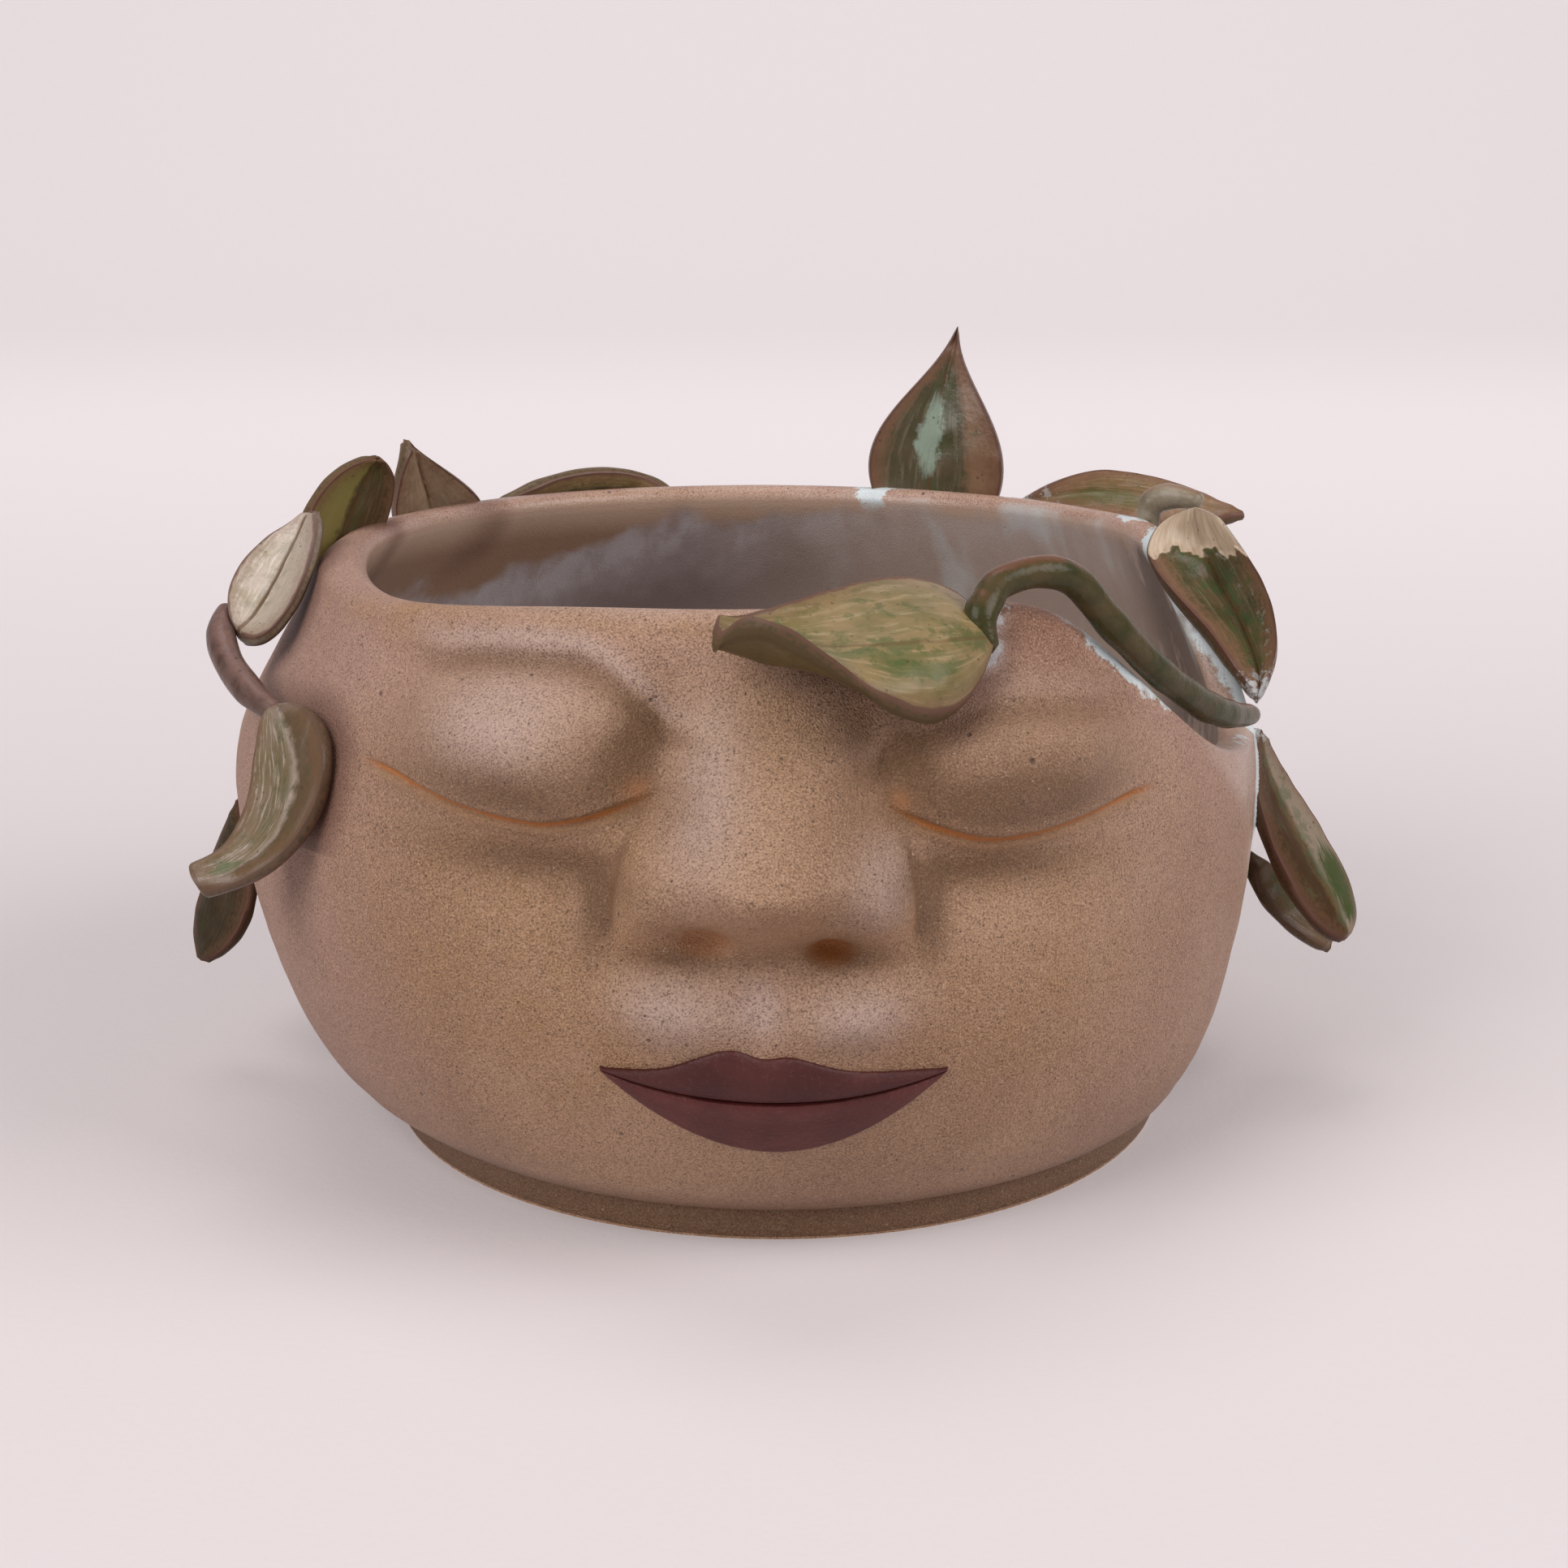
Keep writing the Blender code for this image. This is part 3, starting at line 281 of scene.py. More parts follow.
def eyelids(across, height):
    """Two closed lids: a soft ball under each, cut off below the lid's edge, with a crease above."""
    reach = np.abs(across) - EYEBALL_OFFSET
    half = np.where(reach < 0.0, EYEBALL_INNER, EYEBALL_OUTER)
    tall = np.where(height < EYEBALL_HEIGHT, EYEBALL_BELOW, EYEBALL_ABOVE)
    wide = np.abs(reach / half) ** EYEBALL_SQUARENESS
    ball = LID_SWELL * np.exp(-wide - ((height - EYEBALL_HEIGHT) / tall) ** 2)
    over = smooth_step(0.5 + (height - lid_line(across)) / LID_EDGE)
    lids = ball * (LID_UNDERCUT + (1.0 - LID_UNDERCUT) * over)
    away = hump(reach, CREASE_REACH * half, 4)
    crease = CREASE_DEPTH * away * hump(height - crease_line(across), CREASE_WIDTH)
    return lids - crease


def relief(azimuth, z):
    """How far the face stands proud of the turned pot."""
    across, height = face_place(azimuth, z)
    form = nose(across, height) + eyelids(across, height) + swells(across, height, MIDDLE_FORMS, PAIRED_FORMS)
    at_foot = ramp(z, FOOT_HEIGHT, RELIEF_FOOT_BLEND)
    at_rim = ramp(crest_height(azimuth), z, RELIEF_RIM_BLEND)
    return form * at_foot * at_rim


def rim_roll(azimuth, z):
    """Extra thickness of the wall on the inside, at the thick side of the rim."""
    near_rim = hump(crest_height(azimuth) - z, ROLL_DEPTH)
    return ROLL_THICKNESS * near_rim * hump(turned(azimuth, ROLL_AZIMUTH), ROLL_SPREAD)


def wall_radius(azimuth, z):
    """Distance of the finished outer surface from the Z axis."""
    return profile_radius(z) - lean(z) * np.cos(np.radians(azimuth)) + relief(azimuth, z)


def wall_point(azimuth, height, off):
    """Point that stands off the outer surface by a distance."""
    radius = float(wall_radius(np.float64(azimuth), np.float64(height))) + off
    angle = math.radians(azimuth)
    return Vector((radius * math.cos(angle), radius * math.sin(angle), height))


def rim_point(azimuth, below, off):
    """Point off the outer surface, below the rim, or above it where that is negative. Lengths are in millimetres."""
    return wall_point(azimuth, float(crest_height(np.float64(azimuth))) - below / MM, off / MM)


def mouth_share(across):
    """Distance from the middle of the mouth as a share of its half width."""
    return np.clip(np.abs(across - MOUTH_CENTRE) / MOUTH_HALF_WIDTH, 0.0, 1.0)


def mouth_line(across):
    """Height of the line between the lips, in the frame of the face."""
    return MOUTH_CORNER_HEIGHT - MOUTH_SAG * (1.0 - mouth_share(across) ** MOUTH_SAG_FULLNESS)


def upper_lip_line(across):
    """Top of the upper lip: two peaks under the nose with a dip between them, falling to the corners."""
    side = UPPER_LIP_SIDE_RISE * (1.0 - mouth_share(across)) ** SIDE_RISE_FULLNESS
    rise = CUPID_HEIGHT - MOUTH_CORNER_HEIGHT - side
    bow = hump(across, CUPID_REACH, CUPID_SQUARENESS)
    dip = CUPID_DIP * hump(across, 0.5 * CUPID_OFFSET)
    return MOUTH_CORNER_HEIGHT + side + (rise + CUPID_SLOPE * across) * bow - dip


def lower_lip_line(across):
    """Bottom of the lower lip."""
    return mouth_line(across) - LOWER_LIP_DEPTH * (1.0 - mouth_share(across) ** LOWER_LIP_FULLNESS)


def on_face(across, height, off):
    """Point off the wall from its place in the frame of the face."""
    tilt = math.radians(FACE_TILT)
    above = height - FACE_PIVOT_HEIGHT
    level = across * math.cos(tilt) + above * math.sin(tilt)
    z = FACE_PIVOT_HEIGHT - across * math.sin(tilt) + above * math.cos(tilt)
    azimuth = math.degrees((level + FACE_CENTRE) / FACE_RADIUS) + FACE_AZIMUTH
    return wall_point(azimuth, z, off)


def smooth_route(points, steps):
    """Points along an even curve through the given ones."""
    route = []
    last = len(points) - 1
    for i in range(last):
        a = points[max(i - 1, 0)]
        b = points[i]
        c = points[i + 1]
        d = points[min(i + 2, last)]
        for step in range(steps):
            t = step / steps
            route.append(0.5 * (2.0 * b + (c - a) * t + (2.0 * a - 5.0 * b + 4.0 * c - d) * t * t
                                + (3.0 * b - a - 3.0 * c + d) * t ** 3))
    route.append(points[-1])
    return route


# A leaf grows from a root on the wall, measured down from the rim. Its edges and rib share the root and pass
# through two places each, a third and two thirds of the way along. They end at the tip, or at a third place
# beside it where the tip is broad. The places and the tip are measured from the root. Lengths are in millimetres.
LEAVES = {
    "front_leaf": dict(azimuth=-65.0, below=4.6, off=0.4, crease=0.0, tip=(-35.2, -12.5, 4.5),
        left=((-10.5, 7.5, 6.5), (-23.8, -4.0, 6.0), (-35.0, -10.0, 5.2)),
        rib=((-11.1, -10.5, 1.6), (-23.9, -12.5, 1.6)),
        right=((-10.7, -16.5, -4.7), (-23.9, -19.0, 4.3), (-34.6, -14.0, 3.0))),
    "right_folded_leaf": dict(azimuth=-4.0, below=-1.6, off=1.5, crease=0.5, tip=(-7.1, 21.0, 25.1),
        left=((-5.5, 5.0, 6.5), (-10.8, 13.0, 15.3), (-10.2, 20.5, 23.4)),
        rib=((0.1, 9.5, 5.2), (-4.0, 18.0, 14.2)), right=((3.4, 6.0, 7.5), (0.9, 12.0, 15.5), (-4.2, 18.5, 23.9))),
    "right_hanging_leaf": dict(azimuth=-7.5, below=0.6, off=0.6, crease=0.0, tip=(14.0, -1.8, -32.6),
        left=((-0.4, -3.8, -9.9), (5.2, -5.8, -23.3)), rib=((3.6, 2.2, -11.7), (10.3, 0.2, -23.4)),
        right=((7.6, 5.2, -12.6), (15.0, 4.2, -24.8))),
    "right_lower_leaf": dict(azimuth=-1.0, below=24.7, off=1.0, crease=0.0, tip=(13.2, 1.2, -16.6),
        left=((2.8, -0.8, -8.0), (8.5, -0.8, -13.5)), rib=((5.2, 2.2, -7.2), (10.6, 2.2, -12.8)),
        right=((7.5, 3.2, -6.2), (12.5, 3.2, -11.8))),
    "back_right_leaf": dict(azimuth=53.0, below=2.4, off=-0.3, crease=0.0, tip=(38.0, -6.6, 0.1),
        left=((11.5, 1.4, 5.3), (23.5, 1.4, 4.6)), rib=((12.4, 0.4, 2.4), (23.9, -1.6, 1.5)),
        right=((13.0, -2.6, -0.6), (23.7, -6.6, -1.6))),
    "tall_back_leaf": dict(azimuth=68.0, below=15.3, off=1.5, crease=0.2, tip=(3.2, -0.6, 41.5),
        left=((-11.5, -6.6, 18.7), (-5.3, -3.6, 30.3)), rib=((-1.4, -3.6, 16.0), (0.5, -1.6, 29.4)),
        right=((10.4, -8.6, 17.2), (6.7, -4.6, 29.9))),
    "back_low_leaf": dict(azimuth=136.0, below=4.1, off=1.0, crease=0.0, tip=(32.7, 16.2, 1.2),
        left=((13.0, 8.8, 5.6), (24.4, 15.6, 5.2)), rib=((12.4, 10.4, 3.0), (23.7, 16.8, 2.5)),
        right=((11.8, 11.2, 0.4), (23.0, 17.6, -0.2))),
    "back_left_pointed_leaf": dict(azimuth=144.0, below=8.9, off=1.0, crease=0.2, tip=(0.0, -9.5, 20.1),
        left=((-3.0, -7.0, 7.5), (-1.4, -10.5, 15.4)), rib=((1.8, -1.0, 6.2), (0.8, -5.5, 13.9)),
        right=((10.0, 3.0, 6.2), (5.8, -2.8, 13.6))),
    "back_left_round_leaf": dict(azimuth=171.0, below=10.3, off=1.0, crease=0.2, tip=(10.5, 6.3, 20.2),
        left=((-0.3, -6.0, 8.0), (3.0, -2.0, 16.5)), rib=((4.2, 1.0, 7.5), (7.5, 5.3, 15.5)),
        right=((9.0, 7.0, 6.8), (12.2, 8.3, 15.0))),
    "left_folded_leaf": dict(azimuth=-166.0, below=9.6, off=7.8, crease=0.3, tip=(8.7, 20.0, 13.9),
        left=((-1.5, 6.0, 5.7), (1.9, 15.0, 9.8)), rib=((3.0, 4.0, 2.7), (5.6, 12.5, 7.5)),
        right=((6.8, -2.5, 2.5), (10.0, 7.0, 9.5))),
    "left_lower_leaf": dict(azimuth=-153.4, below=15.4, off=2.1, crease=0.0, tip=(-10.0, -15.5, -20.5),
        left=((-1.9, -5.0, -4.9), (-3.3, -10.0, -12.6), (-10.2, -14.0, -18.8)),
        rib=((2.3, -8.0, -4.6), (1.2, -13.0, -13.4)),
        right=((8.4, -13.5, -0.8), (6.2, -18.1, -12.0), (-9.0, -16.5, -21.8))),
    "left_rear_leaf": dict(azimuth=-178.0, below=38.2, off=0.8, crease=0.0, tip=(-7.4, 3.8, -27.7),
        left=((-5.7, 5.8, -11.9), (-8.9, 6.8, -21.5)), rib=((-1.9, 1.8, -10.6), (-4.8, 2.8, -20.1)),
        right=((1.9, -2.2, -9.3), (0.5, -3.2, -18.6))),
}

# Each point of a vine: azimuth, distance below the rim, distance off the wall, from its start to its end
VINES = {
    "front_vine": (
        (-66.0, 4.6, 2.1), (-66.4, 1.4, 2.3), (-64.9, -1.0, 1.4), (-63.1, -3.0, 1.2),
        (-57.8, -4.8, 1.8), (-52.5, -5.0, 2.2), (-47.8, -2.8, 2.2), (-44.0, -2.4, 1.8),
        (-38.2, -3.8, 0.6), (-30.4, -5.3, -0.6), (-22.9, -4.7, -0.4), (-14.2, -3.0, 0.8)),
    "left_vine": (
        (-169.2, 6.8, 10.5), (-166.5, 9.1, 10.4), (-162.8, 11.8, 8.4),
        (-157.9, 14.6, 5.0), (-153.3, 16.3, 2.0)),
    "back_stem": ((23.4, 3.1, 0.4), (23.4, -1.4, 1.6), (21.8, -3.1, 4.0), (18.2, -3.3, 7.2)),
}

# Fine meshes
FINE_COLUMNS = 640
FINE_LOWER_ROWS = 165
FINE_UPPER_ROWS = 112
FINE_INNER_ROWS = 60
FINE_LIP_ROWS = 14
FOOT_WRAP = 0.00015             # how far the wall's foot wraps over the side of the base slab
FOOT_UPRIGHT = 0.005            # height below which the wall stands straight on the slab
FILLET_DEPTH = 0.0005           # glaze that gathers where a glazed leaf or vine meets the wall
FILLET_REACH = 0.0016
UPPER_ZONE = 0.032              # depth below the rim in which distances to leaves and vines are measured
FAR_LIMIT = 0.012
LEAF_ROWS = 60
LEAF_COLUMNS = 16
SCORE_DEPTH = 0.00032           # the line scored along a leaf's rib
SCORE_WIDTH = 0.00045
VEIN_DEPTH = 0.0001
VEIN_PITCH = 34.0
VEIN_SLANT = 9.0
LEAF_LUMPS = 0.0001             # unevenness of a leaf, and the size of its waves
LEAF_WAVES = 0.006
LEAF_EDGE_ROUND = 0.00028       # how far a leaf's edge stands out beyond the edges of its two sides
# Leaf whose far end folds over: how much wider it gets there, where along it the torn edge lies, and its height
LOBES = {"right_folded_leaf": (0.003, 0.8, 0.0009)}
LOBE_START = 0.45               # share of the length before the torn edge over which the leaf widens
VINE_LUMPS = 0.00012
VINE_WAVES = 0.01
VINE_END_ROUND = 0.0008
VINE_SIDES = 24
VINE_FINE_STEPS = 8
LIP_FINE_COLUMNS = 120
LIP_FINE_ROWS = 28
LIP_SINK = 0.0003               # how far a lip sinks into the wall
LOWER_LIP_LEANING = 0.62
LIP_FOOT = 0.6 * LIP_EDGE       # thickness of a lip at the line of the mouth and at its outer edge
MM = 1000.0

# Marks too fine for the solids
LINE_INNER = 0.015              # the scored line under a lid: its ends, depth and half width
LINE_OUTER = 0.059
LINE_DEPTH = 0.00065
LINE_WIDTH = 0.00042
LINE_INNER_FADE = 0.0055
LINE_OUTER_FADE = 0.008
BURR = (0.0003, 0.0011, 0.0007)         # clay raised along the line: height, distance below it, half width
GROOVE_DEPTH = 0.0006           # the groove beside the nose
GROOVE_WIDTH = 0.00085
GROOVE_PLACE = 1.1              # its distance from the middle over the half width of the nose
GROOVE_LOW = 0.0475
GROOVE_HIGH = 0.064
GROOVE_LOW_FADE = 0.003
GROOVE_HIGH_FADE = 0.006
FOLD_DEPTH = 0.0006             # the fold over a lid
FOLD_WIDTH = 0.0011
FOLD_MIDDLE = 0.033
FOLD_REACH = 0.022
NOSTRIL_CUT = ((0.0007, (-0.007, 0.049), (0.0034, 0.002)), (0.0013, (0.0078, 0.0476), (0.0028, 0.0016)))

# Places that the clay is coloured at, as swellings: strength, place, size. Among them are painted highlights and
# painted shade.
# painted highlights: pale sheen on the pads over the upper lip, the left lid, the nose's flanks, the groove under the
# nose and along the rim over the left eye
PAINTED_HIGHLIGHTS = (
    (1.0, (-0.0105, 0.0402), (0.0065, 0.0048)), (1.0, (0.011, 0.0398), (0.006, 0.004)),
    (1.0, (-0.0345, 0.0732), (0.01, 0.0065)), (1.0, (-0.0075, 0.067), (0.0045, 0.0085)),
    (1.0, (0.0135, 0.0575), (0.0045, 0.0055)), (1.0, (-0.0005, 0.04), (0.003, 0.004)),
    (1.0, (-0.03, 0.089), (0.026, 0.0025)))
# painted shade: on the lower part of each lid, under the lids, at their inner corners, and under and beside the
# nose's wings
PAIRED_PAINTED_SHADE = (
    (1.0, (0.03, 0.0655), (0.018, 0.004)), (1.0, (0.0285, 0.0568), (0.016, 0.0032)),
    (1.0, (0.0172, 0.07), (0.0028, 0.0062)), (1.0, (0.01, 0.0468), (0.007, 0.002)),
    (1.0, (0.0205, 0.052), (0.002, 0.006)))
# painted shade on one side only: the right lid and the inner part of the left lid
SHADE = ((0.6, (0.032, 0.0705), (0.016, 0.006)), (0.6, (-0.0205, 0.0715), (0.006, 0.0045)))
BLOTS = ((0.45, (-0.0165, 0.0668), (0.0016, 0.0016)), (0.45, (0.0165, 0.066), (0.0014, 0.0014)))
OCHRE = (
    (1.0, (-0.037, 0.042), (0.016, 0.013)), (1.0, (-0.025, 0.035), (0.008, 0.007)),
    (1.0, (-0.025, 0.035), (0.012, 0.011)), (1.0, (0.035, 0.038), (0.018, 0.012)),
    (1.0, (0.0, 0.054), (0.007, 0.004)), (1.0, (0.0, 0.077), (0.007, 0.007)),
    (1.0, (-0.056, 0.083), (0.011, 0.006)), (1.0, (-0.015, 0.049), (0.005, 0.004)),
    (1.0, (0.016, 0.049), (0.005, 0.004)))
PAIRED_OCHRE = ((1.0, (0.017, 0.064), (0.004, 0.007)), (1.0, (0.03, 0.056), (0.014, 0.003)))

# Azimuths that the clay's colour changes at
FLASH_LEFT = -118.0             # mauve to the left of this one
FLASH_RIGHT = -64.0             # and, weaker, to the right of this one
OCHRE_RIM = -110.0              # middle of the ochre line under the rim
RUDDY = -57.0                   # warm patch beside the front vine's start
WET_START = -38.0               # wet glaze in the dip, from here to the right
WET_TURN = 16.0                 # degrees by which it narrows below the rim


def random_waves(points, size, seed, count=24):
    """Smooth random field, about -1 to 1, with waves of a size."""
    draw = np.random.default_rng(seed)
    total = np.zeros(len(points))
    for _ in range(count):
        way = draw.normal(size=3)
        way = way / np.linalg.norm(way) * draw.uniform(0.6, 1.6) * math.tau / size
        total = total + np.sin(points @ way + draw.uniform(0.0, math.tau))
    return total / math.sqrt(count)


def add_object(name, data):
    """Put an object into the scene."""
    item = bpy.data.objects.new(name, data)
    bpy.context.scene.collection.objects.link(item)
    return item


def add_piece(name, points, faces, material, slot, node, sharp_angle, **values):
    """Put a mesh into the scene as a piece that stands for a CAD node. The values per vertex are for its material."""
    mesh = bpy.data.meshes.new(name)
    mesh.from_pydata([tuple(point) for point in points], [], [tuple(face) for face in faces])
    for key, numbers in values.items():
        mesh.attributes.new(key, "FLOAT", "POINT").data.foreach_set("value", np.asarray(numbers, dtype=np.float32))
    mesh.materials.append(material)
    mesh.shade_smooth()
    mesh.set_sharp_from_angle(angle=math.radians(sharp_angle))
    piece = add_object(name, mesh)
    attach(piece, "root")
    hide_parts(node)
    return piece


def add_closed(*args, **values):
    """Put a piece into the scene and turn all its faces outward."""
    mesh = add_piece(*args, **values).data
    shape = bmesh.new()
    shape.from_mesh(mesh)
    bmesh.ops.recalc_face_normals(shape, faces=shape.faces)
    shape.to_mesh(mesh)
    shape.free()


def ring_faces(rings, sides, start=0):
    """Quads between closed rings of points."""
    i = np.arange(rings - 1)[:, None] * sides
    j = np.arange(sides)[None, :]
    k = (j + 1) % sides
    return (np.stack([i + j, i + k, i + sides + k, i + sides + j], axis=2).reshape(-1, 4) + start).tolist()


def sheet_faces(rows, columns):
    """Quads of a front and a back sheet of points, and the places round their rim, in order."""
    back = rows * columns
    faces = []
    for i in range(rows - 1):
        for j in range(columns - 1):
            a = i * columns + j
            b = a + columns
            faces.append((a, a + 1, b + 1, b))
            faces.append((back + a, back + b, back + b + 1, back + a + 1))
    rim = [(0, j) for j in range(columns - 1)] + [(i, columns - 1) for i in range(rows - 1)]
    rim += [(rows - 1, j) for j in range(columns - 1, 0, -1)] + [(i, 0) for i in range(rows - 1, 0, -1)]
    return faces, rim


# Wall

def fine_section():
    """Closed section of the wall at +X, in the order outer side, foot, inner side, lip."""
    bottom = FOOT_HEIGHT
    half = 0.5 * WALL
    shoulder = FRONT_CREST - half
    upper = shoulder + (BELLY_HEIGHT - shoulder) * np.arange(FINE_UPPER_ROWS) / FINE_UPPER_ROWS
    turn = 0.5 * math.pi * np.arange(FINE_LOWER_ROWS) / FINE_LOWER_ROWS
    lower = BELLY_HEIGHT - (BELLY_HEIGHT - bottom) * np.sin(turn)
    outer = np.concatenate((upper, lower))
    inner = bottom + (shoulder - bottom) * np.arange(FINE_INNER_ROWS + 1) / FINE_INNER_ROWS
    angle = math.pi * (1.0 - np.arange(1, FINE_LIP_ROWS) / FINE_LIP_ROWS)
    middle = float(profile_radius(shoulder)) - half
    side = FOOT_RADIUS + FOOT_WRAP
    under = FOOT_RADIUS - FOOT_WRAP
    foot = [(side, bottom), (side, 0.6 * bottom), (side, 0.0005), (under, 0.0002), (under - FOOT_WRAP, bottom)]
    return np.concatenate((
        np.column_stack((profile_radius(outer), outer)),
        np.array(foot),
        np.column_stack((profile_radius(inner) - WALL, inner)),
        np.column_stack((middle + half * np.cos(angle), shoulder + half * np.sin(angle)))))


def lid_gap(across, height):
    """Height above a lid's edge, and how much of the scored line there is at that place."""
    reach = np.abs(across)
    ends = ramp(reach, LINE_INNER, LINE_INNER_FADE) * ramp(LINE_OUTER, reach, LINE_OUTER_FADE)
    return height - lid_line(across), ends


def scoop(across, height, middle, size):
    """Flat-bottomed hollow: 1 inside an oval, falling off steeply at its edge."""
    away = ((across - middle[0]) / size[0]) ** 2 + ((height - middle[1]) / size[1]) ** 2
    return np.exp(-away ** 2)


def nose_groove(across, height):
    """How much there is, at a place, of the groove between the nose's side and the cheek."""
    spread = GROOVE_PLACE * nose_spread(height)
    low = ramp(height, GROOVE_LOW, GROOVE_LOW_FADE)
    high = ramp(GROOVE_HIGH, height, GROOVE_HIGH_FADE)
    return low * high * hump(np.abs(across) - spread, GROOVE_WIDTH)


def small_relief(azimuth, z):
    """Marks too fine for the solids: scored lid lines, nostrils, folds over the lids."""
    across, height = face_place(azimuth, z)
    gap, ends = lid_gap(across, height)
    form = -LINE_DEPTH * ends * hump(gap, LINE_WIDTH)
    form = form + BURR[0] * ends * hump(gap + BURR[1], BURR[2])
    for depth, place, size in NOSTRIL_CUT:
        form = form - depth * scoop(across, height, place, size)
    form = form - GROOVE_DEPTH * nose_groove(across, height)
    return form - FOLD_DEPTH * crease_fold(across, height, 0.0, FOLD_WIDTH)


def crease_fold(across, height, above, width):
    """How much there is, at a place, of a band along the crease over each lid."""
    fold = hump(height - crease_line(across) - above, width)
    return fold * hump(np.abs(across) - FOLD_MIDDLE, FOLD_REACH, 4)


def nearest(points, asked, others, limit):
    """Distance from each point asked about to the nearest of the others, no more than a limit."""
    tree = KDTree(len(others))
    for number, other in enumerate(others):
        tree.insert(other, number)
    tree.balance()
    far = np.full(len(points), limit)
    far[asked] = [min(tree.find(point)[2], limit) for point in points[asked]]
    return far


def wall_values(azimuth, height, depth, far, far_plain):
    """Values that the wall's material reads: where each colour lies, and distances in millimetres."""
    across, level = face_place(azimuth, height)
    gap, ends = lid_gap(across, level)
    below = crest_height(azimuth) - height
    on_left = across < 0.0
    nostril = swells(across, level, BLOTS)
    for cut, place, size in NOSTRIL_CUT:
        nostril = nostril + scoop(across, level, place, size) * (cut / NOSTRIL_CUT[-1][0])
    turn = turned(azimuth, FLASH_LEFT)
    left = smooth_step(-turn / 34.0) * smooth_step((turn + 130.0) / 60.0)
    turn = turned(azimuth, FLASH_RIGHT)
    right = smooth_step(turn / 20.0) * smooth_step((175.0 - turn) / 40.0)
    flash = 0.85 * left + 0.55 * hump(below, 0.011) + 0.35 * right
    under_rim = hump(below - 0.0016, 0.0017) * hump(turned(azimuth, OCHRE_RIM), 55.0, 4)
    ochre = swells(across, level, OCHRE, PAIRED_OCHRE) + 0.9 * under_rim
    # painted highlight: a pale band just above the crease over each lid, and the pale sheen spots
    painted_highlight = 0.8 * crease_fold(across, level, 0.0028, 0.0017) * np.where(on_left, 1.0, 0.4)
    painted_highlight = painted_highlight + swells(across, level, PAINTED_HIGHLIGHTS)
    ruddy = np.exp(-(turned(azimuth, RUDDY) / 8.0) ** 2 - (below / 0.0095) ** 2)
    # painted shade: a dark band in the crease over each lid, along the groove beside the nose, in the hollows above,
    # and darker towards the foot
    hollow = 0.75 * crease_fold(across, level, -0.0002, 0.0013) * np.where(on_left, 1.0, 0.6)
    hollow = hollow + 0.8 * nose_groove(across, level) + swells(across, level, SHADE, PAIRED_PAINTED_SHADE)
    hollow = hollow + 0.9 * smooth_step((0.0105 - height) / 0.0075)
    turn = turned(azimuth, WET_START)
    wet = smooth_step((turn - WET_TURN * smooth_step(below / 0.014)) / 9.0)
    wet = wet * smooth_step((50.0 - turn) / 10.0) * ramp(height, 0.022, 0.02)
    shades = dict(nostril=nostril, flash=flash, ochre=ochre, hollow=hollow, painted_highlight=painted_highlight)
    return dict(inner=depth * ramp(height, 0.004, 0.001), below=below * MM, gap=gap * MM, ends=ends,
                ruddy=ruddy, far=far * MM, far_plain=far_plain * MM, wet=wet, turn=turned(azimuth, 90.0) / 180.0,
                **{name: np.clip(numbers, 0.0, 1.0) for name, numbers in shades.items()})


def make_wall(material, glazed, plain):
    """The turned wall with the face, a hand's unevenness, and a fillet of glaze along the leaves and vines."""
    section = fine_section()
    rows = len(section)
    swing = np.linspace(-math.pi, math.pi, FINE_COLUMNS, endpoint=False)
    azimuth = np.tile(FACE_AZIMUTH + np.degrees(swing - FRONT_CROWDING * np.sin(swing)), rows)
    radius = np.repeat(section[:, 0], FINE_COLUMNS)
    z = np.repeat(section[:, 1], FINE_COLUMNS)
    share = np.clip((z - FOOT_HEIGHT) / (FRONT_CREST - FOOT_HEIGHT), 0.0, None)
    height = np.where(z > FOOT_HEIGHT, FOOT_HEIGHT + share * (crest_height(azimuth) - FOOT_HEIGHT), z)
    depth = np.where(z <= FOOT_HEIGHT, 0.0, np.clip((profile_radius(z) - radius) / WALL, 0.0, 1.0))
    leaning = lean(height) * ramp(height, FOOT_UPRIGHT, FOOT_UPRIGHT)
    moved = profile_radius(height) - profile_radius(z) - leaning * np.cos(np.radians(azimuth))
    marks = relief(azimuth, height) + small_relief(azimuth, height)
    radius = radius + moved + marks * (1.0 - depth) - rim_roll(azimuth, height) * depth
    angle = np.radians(azimuth)
    points = np.column_stack((radius * np.cos(angle), radius * np.sin(angle), height))
    outward = np.column_stack((np.cos(angle), np.sin(angle), 0.0 * angle))
    hand = 0.00022 * random_waves(points, 0.03, 3) + 0.00006 * random_waves(points, 0.008, 4)
    points = points + outward * (hand * (1.0 - depth) * ramp(height, 0.004, 0.006))[:, None]
    upper = crest_height(azimuth) - height < UPPER_ZONE
    far = nearest(points, upper, glazed, FAR_LIMIT)
    far_plain = nearest(points, upper, plain, FAR_LIMIT)
    fillet = FILLET_DEPTH * np.clip(1.0 - far / FILLET_REACH, 0.0, 1.0) ** 2
    points = points + outward * (fillet * np.where(depth > 0.5, -1.0, 1.0))[:, None]
    faces = ring_faces(rows, FINE_COLUMNS)
    last = (rows - 1) * FINE_COLUMNS
    faces += [(last + j, last + (j + 1) % FINE_COLUMNS, (j + 1) % FINE_COLUMNS, j) for j in range(FINE_COLUMNS)]
    add_piece("wall_surface", points, faces, material, "speckled_stoneware", "pot_wall", 80.0,
              **wall_values(azimuth, height, depth, far, far_plain))


# Lips

